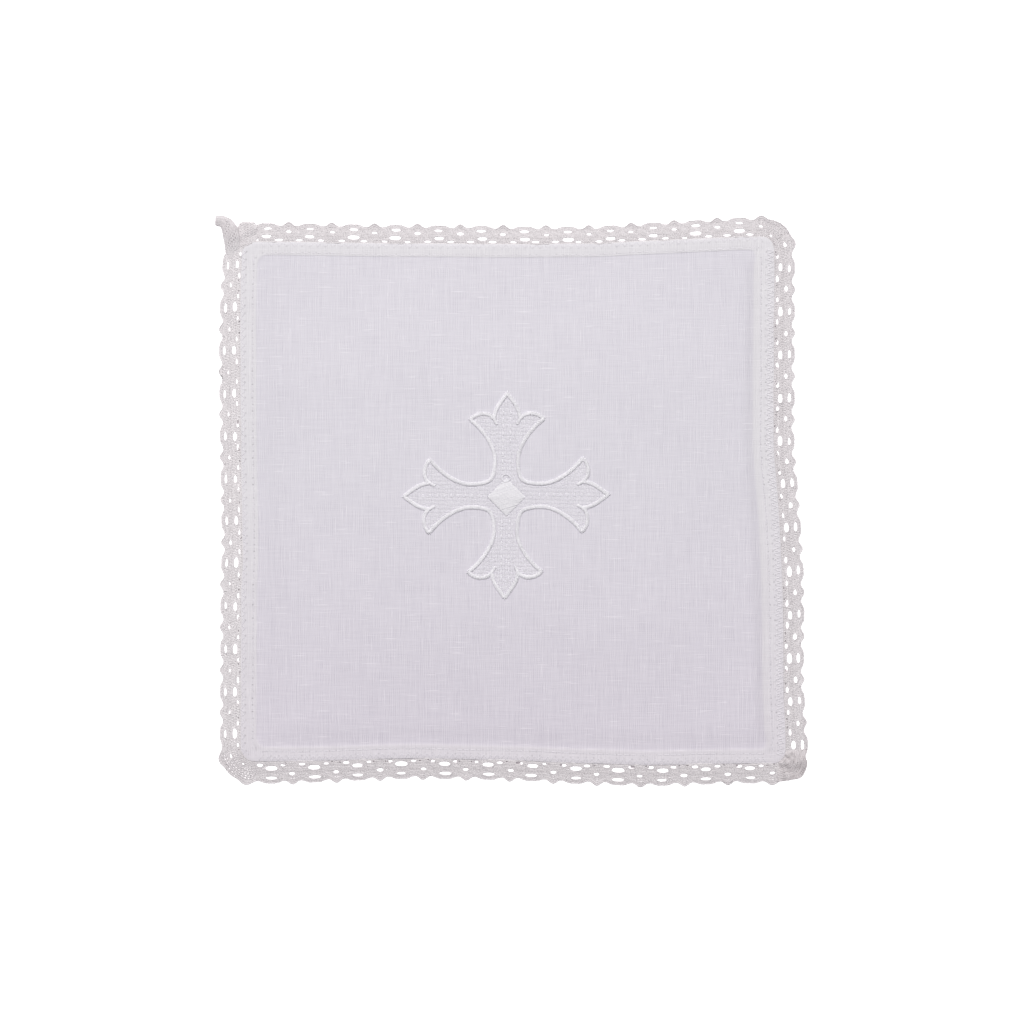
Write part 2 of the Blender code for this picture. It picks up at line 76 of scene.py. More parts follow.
PAINTED_SEAM_SHADES = {  # painted shade along the hem's inner edge, where the panel slopes down to it: how much, how far in, how wide
    "top": {"depth": 0.0, "from": 5.0, "width": 1.0},
    "right": {"depth": 0.075, "from": 7.2, "width": 1.5},
    "bottom": {"depth": 0.035, "from": 7.6, "width": 2.2},
    "left": {"depth": 0.01, "from": 9.5, "width": 4.0},
}
LEDGE_DROP = 0.15
PANEL_THICK = 2.2
PANEL_HALF = (76.0, 74.0)
PANEL_RISE_OVER = 42.0
CORNER_RADIUS = 4.0
PANEL_CORNER = 7.5
PANEL_ROUNDING = (2.0, 5.0)  # how far in the hem's corners begin and end to turn into the panel's
RIM_ROUND = 0.9  # the edge's rounding, its lowest place on the side, and how far in the flat back starts
RIM_BELLY = 0.45
BACK_INSET = 5.5
ROW_FURROW = {"depth": 0.04, "width": 0.45}
CLOTH_WAVES = {"height": 0.07, "length": 61.0}
HEM_WAVES = {"height": 0.04, "length": 9.0}
WAVE_PARTS = (
    ("share", "turns", "across", "up", "start"),
    (0.5, 1.0, 1.0, 0.3, 1.3), (0.3, 1.7, -0.6, 1.0, 0.4), (0.2, 2.9, 0.8, 1.0, 2.1),
)
CLOTH_CELL = 0.68
HEM_LINES = (0.0, 0.10, 0.25, 0.50, 0.85, 1.25, 1.65, 2.05, 2.4, 2.7, 2.95, 3.2, 3.4, 3.6, 3.75,
             3.9, 4.05, 4.2, 4.35, 4.5, 4.65, 4.8, 4.95, 5.15, 5.5, 6.0)
RIM_SPACING = 0.25
RIM_SMOOTHING = 24

# Hem stitches
STITCH_LENGTH = 2.0
HEM_BLEND = 1.0
ZIGZAG_OUTER = 0.05
ZIGZAG_HOLES = 2.3
ZIGZAG_SEWN = {"start": 1.6, "stray": 0.07, "uneven": 0.10, "spacing": 0.35, "sink": 0.10,
               "turn": (0.7, 1.0)}
ROW_SEWN = {"points": 7.0, "sway": 0.12, "sway_length": 7.3, "sink": 0.12, "dip": (0.02, 0.20)}
SEWING_RADIUS = 0.12
SEWING_FLAT = 0.6

# Lace edging: repeats along each side in a clockwise walk, as in the CAD source
SIDES = ("top", "right", "bottom", "left")
LACE_REPEATS = 12
LACE_SIDES = {  # reach past the linen at even stations, depth of the dips, rise of the picots, and each side's tone, partly painted shade that darkens the bottom side
    "top": {"first": -73.3, "pitch": 12.87, "dip": 0.70, "picot": 0.45, "tone": 0.42,
            "reach": (5.5, 5.5, 5.43, 5.3, 4.95, 5.4, 5.6)},
    "right": {"first": 70.0, "pitch": -13.00, "dip": 0.90, "picot": 0.10, "tone": 0.62,
              "reach": (6.0, 6.13, 6.17, 6.15, 6.5, 5.95, 6.5)},
    "bottom": {"first": 71.4, "pitch": -13.05, "dip": 0.72, "picot": 0.42, "tone": 0.34,
               "reach": (5.8, 6.2, 5.75, 5.9, 6.5)},
    "left": {"first": -69.8, "pitch": 12.78, "dip": 0.90, "picot": 0.15, "tone": 0.95,
             "reach": (6.15, 6.1, 6.2, 6.15, 6.45, 5.7)},
}
LACE_GAPS = (  # shift in pitches from the repeat's middle, and how square: 2 is an ellipse
    ("name", "shift", "round"),
    ("slit", 0.0, 2.0), ("inner", 0.0, 2.5), ("diamond", -0.5, 1.7),
    ("footing", -0.27, 1.9), ("footing", 0.27, 1.9),
)
GAP_SIZES = {  # length along the lace, width across it, and depth in from the lace's reach
    "top": {"slit": (3.0, 1.00, 1.4), "inner": (3.5, 1.35, 3.75),
            "diamond": (2.25, 1.10, 2.25), "footing": (2.6, 0.9, 5.1)},
    "right": {"slit": (3.0, 1.20, 1.5), "inner": (3.1, 1.60, 4.2),
              "diamond": (2.0, 1.30, 2.5), "footing": (2.2, 1.1, 5.1)},
    "bottom": {"slit": (3.7, 1.05, 1.5), "inner": (3.8, 1.50, 4.4),
               "diamond": (2.3, 1.20, 2.8), "footing": (2.2, 1.1, 5.4)},
    "left": {"slit": (2.9, 0.88, 1.5), "inner": (3.0, 1.38, 4.35),
             "diamond": (1.6, 0.85, 2.65), "footing": (2.2, 0.80, 5.2)},
}
CORNER_GAPS = (
    ("x", "y", "length", "width"),
    (74.7, 82.35, 1.7, 0.95), (77.9, 79.4, 1.7, 0.9), (-80.4, -78.8, 1.2, 0.8),
)
CORNER_GAP_ROUND = 1.7
SHADOW_SPOTS = {  # small pits in the footing: places, sizes and chance, and the threads under them, darkened as painted shadow
    "shifts": (-0.62, -0.38), "out": 0.62, "half": (0.50, 0.36), "round": 2.0, "stray": 0.05,
    "stray_out": 0.15, "chance": 0.8, "length": 2.0, "height": 0.16, "rows": (-0.35, 0.0, 0.35),
    "flat": 0.5, "shade": -1.0,
}
GAP_UNEVEN = 0.14
GAP_STRAY = 0.25
GAP_CLEAR = 0.03
GAP_SOFTNESS = 3.5
GAP_LEAD = {"within": 3.5, "least": 0.2, "fall": 2.0}  # how a thread through a gap's middle is led aside
FOOTING_BAR = 0.12
LACE_MIDDLE = 3.0
LACE_UNDER_HEM = 0.9
LACE_HEIGHT = 0.63
LACE_DROOP = 0.70
LACE_TUCK = {"depth": 0.45, "over": 0.06}
LACE_RIPPLE = 0.08
LACE_RIPPLE_LENGTH = 20.0
LACE_MARGIN = 6.0
LACE_OVERLAP = 0.1
SCALLOP_FLAT = 0.10
SCALLOP_VALLEY = 0.29
PICOT_HALF_WIDTH = 0.17
CORNERS = (  # at each bend: how much further out the edge stands, how much painted shade darkens its crowded threads, how far it goes
    ("across", "up", "reach", "shade", "span"),
    (-1, 1, -0.25, 0.05, 8.0), (1, 1, 0.25, 0.30, 8.0), (1, -1, 0.55, 0.40, 5.5),
    (-1, -1, 0.4, 0.95, 8.0), (1, -0.45, 0.95, 0.0, 2.0),
)
FOLDED_CORNER = 2  # the bend that the lace is folded round

# Lace threads: passives run lengthwise, and workers cross them from the linen to the edge and back
PASSIVES = 15
PASSIVE_SWAY = {"share": 0.03, "length": 3.1, "step": 2.0, "lift": 0.04, "turns": 2.0}
WORKERS = 8
WORKER_TURN = 7.0
WORKER_SHARP = 0.97
WORKER_LIFT = 0.12
EDGE_TWIST = 1.5
EDGE_CORDS = (("out", "sway", "lift"), (1.0, 0.020, 0.12), (-0.02, 0.02, 0.08))
PICOT_ROWS = (
    ("lift", "inset"), (0.10, 0.0), (0.0, -0.30), (0.08, -0.60), (0.0, -0.90), (0.04, -1.20),
)
THREAD_UNEVEN = 0.08
PASSIVE_RADIUS = 0.25
WORKER_RADIUS = 0.20
THREAD_FLAT = 0.62
EDGE_RADIUS = 0.20
LACE_STEP = 0.05
LACE_SPACING = 0.55

# The rolled end of the lace: its middle line out from the corner, and the threads wound round it
LOOSE_END = (
    ("x", "y", "half_width"),
    (-83.9, 73.4, 2.1), (-83.7, 75.0, 2.3), (-83.6, 76.8, 2.4), (-83.9, 79.2, 2.5), (-84.4, 81.4, 2.4),
    (-85.4, 83.1, 2.0), (-86.8, 83.9, 1.70), (-88.8, 84.1, 1.60),
)
ROLL_FLAT = 0.42
ROLL_TONE = -0.12
ROLL_SPACING = 0.25
ROLL_ENDS = {"base": 2.0, "tip": 0.6, "least": 0.1}
ROLL_SKIN = {"in": 0.2, "floor": 0.15, "flat": 0.1, "lowest": 0.2, "lift": 0.02, "sway": 0.06,
             "sway_turns": 1.3}
ROLL_CORE = {"width": 0.95, "flat": 0.92}
# how far the roll rises from its base, and the painted light that lightens its shaded lower end
ROLL_START = {"over": 6.5, "share": 0.30, "shade": 1.2}
ROLL_PASSIVES = 26
ROLL_WORKERS = 12
ROLL_TURN = 2.2

# Where the strip's two ends overlap, and where the lace is eased round the far corner
BUNCH = {"x": -79.2, "y": 79.5, "half_length": 4.3, "half_width": 2.95, "height": 1.35, "turn": 88.0,
         "square": 4.0, "tone": 0.35, "stray": 0.04, "step": 0.12, "spacing": 0.45, "flat": 0.75,
         "least": 8, "floor": 0.40, "sink": 0.70, "fold": 0.10, "fold_turns": (1.6, 0.9), "weave": 0.07,
         "weave_turns": 5.0, "over": 0.04}
BUNCH_THREADS = (
    ("lean", "spacing", "radius"), (0.0, 0.34, 0.23), (58.0, 0.60, 0.22), (-58.0, 0.60, 0.22),
)
FOLD = {"before": 5.5, "after": 4.5, "threads": 19, "spacing": 0.42, "height": 0.9, "tone": 0.45,
        "ends": 2.5, "in": 0.5, "step": 0.1, "laid": 0.4, "flat": 0.75, "wobble": 0.14, "weave": 0.05,
        "cross_weave": 0.10, "lean": 1.4, "cross_points": 26, "cross_thin": 0.85, "cross_in": 0.5}
# painted shade of the fold: lightened towards its ends, where it meets the plain lace, and mottled
# between them
FOLD_SHADE = {"ends": 1.1, "mottle": 0.6}
FOLD_RIDGES = {"even": 0.5, "wide": 0.32, "fine": 0.18, "least": 0.25, "over": 1.2, "in": 0.4}
FOLD_WAVES = {  # turns along the lace and across it
    "wide": (1.25, 0.9), "fine": (2.9, -1.3), "mottle": ((2.1, 1.2), (-0.8, 1.9)), "wobble": (1.7, 1.9),
    "weave": (5.0, math.pi),
}

# Embroidered cross: half an arm from its tip to the crotch between two arms (across, along)
CROSS_CENTRE = (-1.65, 1.65)
CROSS_LEAN = {"level": 0.0090, "upright": 0.0133}
HALF_ARM = (
    {"from": (0.0, 30.7), "handles": ((1.2, 28.6), (3.8, 26.4)), "to": (3.9, 22.9)},
    {"from": (3.9, 22.9), "handles": ((5.0, 24.9), (8.8, 25.3)), "to": (11.0, 22.8)},
    {"from": (11.0, 22.8), "handles": ((7.3, 20.2), (3.1, 14.6)), "to": (3.45, 10.0)},
    {"from": (3.45, 10.0), "handles": ((3.5, 7.9), (3.75, 5.9)), "to": (4.75, 4.75)},
)
RUN_STEPS = 24
CORD_WIDTH = 1.22
CORD_RISE = 0.24
CORD_PITCH = 0.30
CORD_THREAD = 0.17
SATIN = {"slant": 0.16, "slant_stray": 0.06, "width_stray": 0.05, "height_stray": 0.02, "crown": 2.4}
SATIN_PARTS = (-1.0, -0.86, -0.5, 0.0, 0.5, 0.86, 1.0)
NOTCH_TAIL = 1.7
NOTCH_WIDTH = 0.36
CROSS_REACH = 32.0
GROUND_ROW = 0.40
GROUND_STITCH = 0.80
GROUND_THREAD = 0.15
GROUND_LIFT = 0.02
GROUND_CLEAR = {"lozenge": 0.2, "cord": 0.15}
GROUND_STRAY = 0.035
SPINE = {"from": 8.0, "to": 25.0, "pitch": 2.1, "half": 0.55, "aside": 1.1, "lift": 0.10}
SPINE_ROWS = (("arm", "aside"), (0, -1.0), (0, 1.0), (1, 0.0), (2, -1.0), (2, 1.0), (3, 0.0))
LOZENGE_HALF = 5.9
LOZENGE_SHIFT = (0.15, -0.45)
LOZENGE_SLANT = 17.0
LOZENGE_PITCH = 0.27
LOZENGE_CROWN = 0.38
LOZENGE_ROUND = 0.45
LOZENGE_STRAY = 0.03
LOZENGE_THREAD = {"radius": 0.20, "flat": 0.6, "spacing": 0.40, "steps": 400, "least": 6}
TOP_LOOP = {"x": -1.65, "y": 6.85, "radius": 1.15, "thread": 0.20, "lift": 0.22}

# Linen's finish: its weave, its tones and the painted shade of its stitches' holes
WEAVE_SETS = (  # each set's tone by its scales across and along the threads, and how rare its slubs are
    ("axis", "across", "along", "rare", "weight"),
    (0, 1.7, 0.09, 0.765, 1.0), (1, 1.7, 0.11, 0.715, 0.75),
)
WEAVE = {  # scales across and along the threads, and how much each thing moves, lifts or lightens them
    "pitch": 0.60, "wander_scale": 0.16, "wander": 0.6, "drift_scale": (0.8, 0.03), "drift": 1.1,
    "roughness": 0.65, "slub_scale": (2.3, 0.15), "slub_soft": 0.07, "patch_scale": (0.21, 0.33),
    "patch": (0.38, 0.62), "warp": 0.48, "weft": 0.22, "tone_height": 0.8, "slub_height": 0.5,
    "upper_shade": 0.48, "tone_shade": 1.50, "warp_shade": 0.36,
}
LINEN = {"roughness": 0.85, "cloud_scale": 38.0, "cloud": 0.35, "bump": 0.35, "bump_height": 0.00012}
LINEN_TONES = {  # darkest and lightest
    "panel": ((0.702, 0.682, 0.740), (0.802, 0.782, 0.833)),
    "hem": ((0.745, 0.728, 0.760), (0.842, 0.828, 0.850)),
}
HEM_SHADE = 0.8
# Towards the pall's lower edge, between these places in metres, the weave shows more and the colour
# turns a little darker and less green
LOWER = {"from": 0.01, "to": -0.07, "threads": (0.22, 0.80), "slubs": (0.2, 0.75),
         "tone": (0.990, 0.966, 0.985)}
HOLE_ROWS = (
    ("off", "spacing", "size"),
    ("zigzag_off", ZIGZAG_HOLES, 0.42), ("row_off", STITCH_LENGTH, 0.38),
)
# the stitches' holes are dark dots painted into the linen's colour as shade, not pits in the cloth
HOLES = {"stray": 0.3, "deeper": 0.8, "least": 0.2, "shade": 0.6, "dark": 0.7}

# Finishes of the threads: their ply and patches, their two tones, and how much their tones spread
SPUN = {"patch_scale": 1.9, "patch": 1.4, "ply": 0.12, "bump": 0.3, "bump_height": 0.00004}
THREAD_FINISHES = (
    ("name", "darkest", "lightest", "roughness", "turns", "spread"),
    ("sewing cotton", (0.79, 0.765, 0.81), (0.86, 0.84, 0.87), 0.8, 1.6, 1.0),
    ("lace cotton", (0.66, 0.625, 0.64), (0.87, 0.84, 0.85), 0.8, 1.6, 0.5),
    # the fold's cotton is darker as painted shade of the crowded, folded lace
    ("lace cotton in the folds", (0.56, 0.52, 0.53), (0.74, 0.70, 0.71), 0.8, 1.6, 0.7),
    ("satin stitch cotton", (0.87, 0.86, 0.895), (0.95, 0.94, 0.962), 0.6, 0.8, 0.6),
    ("filling stitch cotton", (0.89, 0.872, 0.913), (0.96, 0.948, 0.978), 0.7, 1.6, 0.5),
)

# Studio, in metres
FLOOR = {"half": 3.0, "under": 0.0003, "roughness": 0.9, "colour": 0.95, "glow": 0.75}
LAMP = {"place": (-0.15, 1.2, 1.55), "size": (1.5, 0.9), "energy": 30.0, "colour": (1.0, 0.985, 0.97)}
ROOM = {"colour": (0.97, 0.96, 1.0, 1.0), "strength": 0.40}


def table_rows(table):
    """The rows of a table whose first row names its columns."""
    return [dict(zip(table[0], row)) for row in table[1:]]


def pall_shift():
    """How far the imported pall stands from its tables' places, read off the lozenge."""
    low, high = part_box("cross_lozenge")
    return np.array([0.5 * (low.x + high.x), 0.5 * (low.y + high.y)]) / MM - np.array(CROSS_CENTRE)


SHIFT = pall_shift()


def on_pall(x, y):
    return np.array([x, y], float) + SHIFT


def fade(low, high, value):
    """0 below low, 1 above high, and smooth between them."""
    part = np.clip((value - low) / (high - low), 0.0, 1.0)
    return part * part * (3.0 - 2.0 * part)


def resampled(path, spacing, closed=False):
    """A path again, with its points evenly spaced."""
    if closed:
        path = np.vstack([path, path[:1]])
    steps = np.linalg.norm(np.diff(path[:, :2], axis=0), axis=1)
    marks = np.concatenate([[0.0], np.cumsum(steps)])
    places = np.linspace(0.0, marks[-1], max(3, int(round(marks[-1] / spacing)) + 1))
    if closed:
        places = places[:-1]
    return np.stack([np.interp(places, marks, column) for column in path.T], axis=1)


def unit(ways):
    """Directions, one a row, each made one long."""
    return ways / np.linalg.norm(ways, axis=1)[:, None]


def lifted(spots, height):
    """Flat places with their heights."""
    return np.concatenate([spots, height[..., None]], axis=-1)


def new_mesh(name, points, faces):
    """A smooth mesh from points in millimetres and lists of faces, each an index array."""
    mesh = bpy.data.meshes.new(name)
    corners = np.concatenate([block.ravel() for block in faces])
    sizes = np.concatenate([np.full(len(block), block.shape[1]) for block in faces])
    mesh.vertices.add(len(points))
    mesh.vertices.foreach_set("co", (points * MM).ravel())
    mesh.loops.add(len(corners))
    mesh.loops.foreach_set("vertex_index", corners)
    mesh.polygons.add(len(sizes))
    mesh.polygons.foreach_set("loop_start", np.concatenate([[0], np.cumsum(sizes)[:-1]]))
    mesh.update(calc_edges=True)
    mesh.validate()
    mesh.shade_smooth()
    return mesh


class Skein:
    """Many threads gathered into one mesh, each a round tube along its own path."""

    def __init__(self, name, ring=5, seed=1, tone=0.5):
        self.name = name
        self.ring = ring
        self.tone = tone
        self.chance = np.random.default_rng(seed)
        self.points, self.quads, self.caps, self.tints, self.alongs = [], [], [], [], []
        self.count = 0

    def add(self, paths, radius, flat=1.0, taper=0.35, shade=0.0):
        """Lay threads along paths of one length, an array of threads, points and places."""
        paths = np.asarray(paths, float)
        if paths.ndim == 2:
            paths = paths[None]
        threads, length, _ = paths.shape
        heading = np.gradient(paths, axis=1)
        heading /= np.maximum(np.linalg.norm(heading, axis=2, keepdims=True), 1e-9)
        across = np.stack([heading[..., 1], -heading[..., 0], np.zeros(heading.shape[:2])], axis=2)
        across /= np.maximum(np.linalg.norm(across, axis=2, keepdims=True), 1e-9)
        upward = np.cross(across, heading)
        swell = np.ones(length)
        swell[0] = swell[-1] = taper
        uneven = 1.0 + THREAD_UNEVEN * self.chance.uniform(-1, 1, (threads, 1, 1))
        swell = swell[None, :, None] * uneven
        radius = np.broadcast_to(np.asarray(radius, float), (threads, length))[..., None]
        flat = np.broadcast_to(np.asarray(flat, float), (threads, length))[..., None]
        rings = []
        for corner in range(self.ring):
            turn = 2.0 * math.pi * (corner + 0.5) / self.ring
            side = math.cos(turn) * across + flat * math.sin(turn) * upward
            rings.append(paths + radius * swell * side)
        block = np.stack(rings, axis=2)
        index = self.count + np.arange(block[..., 0].size).reshape(threads, length, self.ring)
        after = np.roll(index, -1, axis=2)
        quads = np.stack([index[:, :-1], index[:, 1:], after[:, 1:], after[:, :-1]], axis=-1)
        steps = np.linalg.norm(np.diff(paths, axis=1), axis=2)
        along = np.concatenate([np.zeros((threads, 1)), np.cumsum(steps, axis=1)], axis=1)
        tint = self.tone + self.chance.uniform(-0.5, 0.5, (threads, 1, 1))
        tint = tint + np.broadcast_to(np.asarray(shade, float), (threads, length))[..., None]
        self.points.append(block.reshape(-1, 3))
        self.quads.append(quads.reshape(-1, 4))
        self.caps += [index[:, 0, :], index[:, -1, ::-1]]
        self.tints.append(np.broadcast_to(tint, block.shape[:3]).ravel())
        self.alongs.append(np.broadcast_to(along[..., None], block.shape[:3]).ravel())
        self.count += block[..., 0].size

    def piece(self, material, node):
        """The threads as one piece, with what its material reads of them."""
        faces = [np.concatenate(self.quads), np.concatenate(self.caps)]
        mesh = new_mesh(self.name, np.concatenate(self.points), faces)
        for label, values in (("thread_tint", self.tints), ("thread_along", self.alongs)):
            mark_points(mesh, label, np.concatenate(values))
        return new_piece(self.name, mesh, material, node)


def mark_points(mesh, label, values):
    """Give each point of a mesh one number, for its material to read."""
    layer = mesh.attributes.new(label, "FLOAT", "POINT")
    layer.data.foreach_set("value", values.astype(np.float32))


def new_object(name, data):
    made = bpy.data.objects.new(name, data)
    bpy.context.scene.collection.objects.link(made)
    return made


def new_piece(name, mesh, material, node):
    """A piece of the pall that stands for one CAD node and takes its finish."""
    piece = new_object(name, mesh)
    mesh.materials.append(material)
    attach(piece, "root")
    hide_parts(node)
    return piece


class Rim:
    """The linen's edge, read from its CAD solid: a closed walk clockwise from the top left."""

    def __init__(self):
        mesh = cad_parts["linen_cover"].data
        places = np.array([vertex.co[:] for vertex in mesh.vertices]) / MM
        floor = np.unique(places[places[:, 2] < 0.001, :2].round(3), axis=0)
        outline = floor[np.argsort(self.bearing(floor))]
        points = resampled(outline, RIM_SPACING, closed=True)
        for _ in range(RIM_SMOOTHING):
            points = 0.5 * points + 0.25 * (np.roll(points, 1, axis=0) + np.roll(points, -1, axis=0))
        heading = unit(np.roll(points, -2, axis=0) - np.roll(points, 2, axis=0))
        self.points = points
        self.normals = np.stack([-heading[:, 1], heading[:, 0]], axis=1)
        self.side = (self.bearing(points) // (0.5 * math.pi)).astype(int) % 4

    @staticmethod
    def bearing(points):
        return (0.75 * math.pi - np.arctan2(points[:, 1], points[:, 0])) % (2.0 * math.pi)

    def edge(self, side, along):
        """The edge's coordinate on one side, at coordinates along it."""
        number = SIDES.index(side)
        axis = number % 2
        own = self.points[self.side == number]
        low, high = own[:, axis].min() + 2 * CORNER_RADIUS, own[:, axis].max() - 2 * CORNER_RADIUS
        own = own[(own[:, axis] > low) & (own[:, axis] < high)]
        order = np.argsort(own[:, axis])
        return np.interp(along, own[order, axis], own[order, 1 - axis])


def cloth_lines(span):
    """Places of the cloth's grid lines from one edge to the other, close at the hem."""
    near = np.array(HEM_LINES) / span
    middle = np.linspace(near[-1], 1.0 - near[-1], int((span - 2 * HEM_LINES[-1]) / CLOTH_CELL) + 1)
    return np.concatenate([near[:-1], middle, 1.0 - near[-2::-1]])


def hem_distance(rim, x, y):
    """Distance in from the linen's edge, and the place drawn in at the rounded corners."""
    left, right = rim.edge("left", y), rim.edge("right", y)
    bottom, top = rim.edge("bottom", x), rim.edge("top", x)
    centre_x = np.clip(x, left + CORNER_RADIUS, right - CORNER_RADIUS)
    centre_y = np.clip(y, bottom + CORNER_RADIUS, top - CORNER_RADIUS)
    side, level = x - centre_x, y - centre_y
    reach = np.hypot(side, level)
    corner = np.minimum(np.abs(side), np.abs(level)) > 1e-6
    draw = np.where(corner, np.maximum(np.abs(side), np.abs(level)) / np.maximum(reach, 1e-9), 1.0)
    beside, below = np.minimum(x - left, right - x), np.minimum(y - bottom, top - y)
    straight = np.minimum(beside, below)
    drawn = np.hypot(np.maximum(PANEL_CORNER - beside, 0.0), np.maximum(PANEL_CORNER - below, 0.0))
    rounded = np.where(straight < PANEL_CORNER, PANEL_CORNER - drawn, straight)
    straight = straight + (rounded - straight) * fade(*PANEL_ROUNDING, straight)
    inside = np.where(corner, CORNER_RADIUS - reach * draw, straight)
    nearness = np.exp(-np.stack([top - y, right - x, y - bottom, x - left], axis=-1) / HEM_BLEND)
    nearness /= nearness.sum(axis=-1, keepdims=True)
    return np.maximum(inside, 0.0), centre_x + side * draw, centre_y + level * draw, nearness


def hem_width(nearness, name):
    """A width of the hem at each place, from the widths of the sides that are near it."""
    return nearness @ np.array([HEM_SIDES[side][name] for side in SIDES])


def waves(x, y, height, length):
    """Gentle unevenness, from three long waves that run different ways."""
    turn = 2.0 * math.pi / length
    parts = []
    for part in table_rows(WAVE_PARTS):
        way = part["across"] * x + part["up"] * y
        parts.append(part["share"] * np.sin(part["turns"] * turn * way + part["start"]))
    return height * sum(parts)


def hem_layers(inside, nearness):
    """1 on the turned hem and 0 on the panel inside it."""
    ledge, soft = hem_width(nearness, "ledge"), hem_width(nearness, "soft")
    return 1.0 - fade(ledge - 0.5 * soft, ledge + 0.5 * soft, inside)


def cloth_height(x, y, inside, nearness):
    """The linen's upper surface over the flat it lies on."""
    layers = hem_layers(inside, nearness)
    height = RIM_THICK + (HEM_THICK - LEDGE_DROP - RIM_THICK) * fade(0.0, RIM_ROUND, inside)
    height = height + LEDGE_DROP * layers
    rise = fade(0.0, PANEL_RISE_OVER, PANEL_HALF[0] - np.abs(x - SHIFT[0]))
    rise = rise * fade(0.0, PANEL_RISE_OVER, PANEL_HALF[1] - np.abs(y - SHIFT[1]))
    height += (PANEL_THICK - HEM_THICK + LEDGE_DROP) * rise
    furrow = (inside - hem_width(nearness, "row")) / ROW_FURROW["width"]
    height -= layers * ROW_FURROW["depth"] * np.exp(-furrow ** 2)
    height += waves(x, y, **CLOTH_WAVES) + layers * waves(x, y, **HEM_WAVES)
    return height


def cloth_level(rim, spots):
    """The linen's upper surface under points of any array shape."""
    inside, x, y, nearness = hem_distance(rim, spots[..., 0], spots[..., 1])
    return cloth_height(x, y, inside, nearness)


def painted_seam_shade(inside, nearness):
    """How much painted shade darkens the cloth beside the hem, where the panel slopes down to it, on
    each side by its own amount.
    """
    rows = [PAINTED_SEAM_SHADES[side] for side in SIDES]
    shades = [row["depth"] * np.exp(-((inside - row["from"]) / row["width"]) ** 2) for row in rows]
    return (nearness * np.stack(shades, axis=-1)).sum(axis=-1)


def linen_cloth(rim, material):
    """The linen cover as one closed cloth with its turned hem and raised panel."""
    width = rim.points[:, 0].max() - rim.points[:, 0].min()
    depth = rim.points[:, 1].max() - rim.points[:, 1].min()
    across, up = np.meshgrid(cloth_lines(width), cloth_lines(depth), indexing="ij")
    x, y = width * (across - 0.5), depth * (up - 0.5)
    for _ in range(3):
        left, right = rim.edge("left", y), rim.edge("right", y)
        bottom, top = rim.edge("bottom", x), rim.edge("top", x)
        x, y = left + (right - left) * across, bottom + (top - bottom) * up
    inside, x, y, nearness = hem_distance(rim, x, y)
    top_points = np.stack([x, y, cloth_height(x, y, inside, nearness)], axis=2)
    columns, rows = x.shape
    index = np.arange(columns * rows).reshape(columns, rows)
    quads = np.stack([index[:-1, :-1], index[1:, :-1], index[1:, 1:], index[:-1, 1:]], axis=2)
    border = np.concatenate([index[:-1, 0], index[-1, :-1], index[:0:-1, -1], index[0, :0:-1]])
    rim_points = top_points.reshape(-1, 3)[border]
    belly, floor = rim_points.copy(), rim_points.copy()
    inward = -rim_points[:, :2] / np.linalg.norm(rim_points[:, :2], axis=1)[:, None]
    belly[:, 2] = RIM_BELLY
    floor[:, :2] += BACK_INSET * inward
    floor[:, 2] = 0.0
    base = columns * rows
    loops = [border, base + np.arange(len(border)), base + len(border) + np.arange(len(border))]
    walls = [np.stack([np.roll(loop, -1), loop, under, np.roll(under, -1)], axis=1)
             for loop, under in zip(loops, loops[1:])]
    points = np.concatenate([top_points.reshape(-1, 3), belly, floor])
    faces = [np.concatenate([quads.reshape(-1, 4)] + walls), loops[-1][::-1][None]]
    mesh = new_mesh("linen_cloth", points, faces)
    along = np.where(nearness[..., 1] + nearness[..., 3] > 0.5, y, x)
    zigzag = nearness @ np.array([ZIGZAGS[side]["inner"] for side in SIDES])
    marks = {"hem_layers": hem_layers(inside, nearness), "hem_along": along,
             "zigzag_off": inside - zigzag, "row_off": inside - hem_width(nearness, "row"),
             "hole_depth": hem_width(nearness, "holes"), "painted_seam_shade": painted_seam_shade(inside, nearness)}
    for label, values in marks.items():
        mark_points(mesh, label, np.concatenate([values.ravel(), np.zeros(len(points) - base)]))
    return new_piece("linen_cloth", mesh, material, "linen_cover")


def hem_point(rim, side, along, inside):
    """Places on the hem from coordinates along one side and distances in from its edge."""
    number = SIDES.index(side)
    inward = -1.0 if side in ("top", "right") else 1.0
    edge = rim.edge(side, along) + inward * inside
    x, y = (along, edge) if number % 2 == 0 else (edge, along)
    depth, x, y, nearness = hem_distance(rim, x, y)
    return x, y, cloth_height(x, y, depth, nearness)


def side_span(rim, side, inside):
    """First and last coordinate of a row of stitches along one side."""
    number = SIDES.index(side)
    own = rim.points[rim.side == number][:, number % 2]
    return own.min() + inside, own.max() - inside


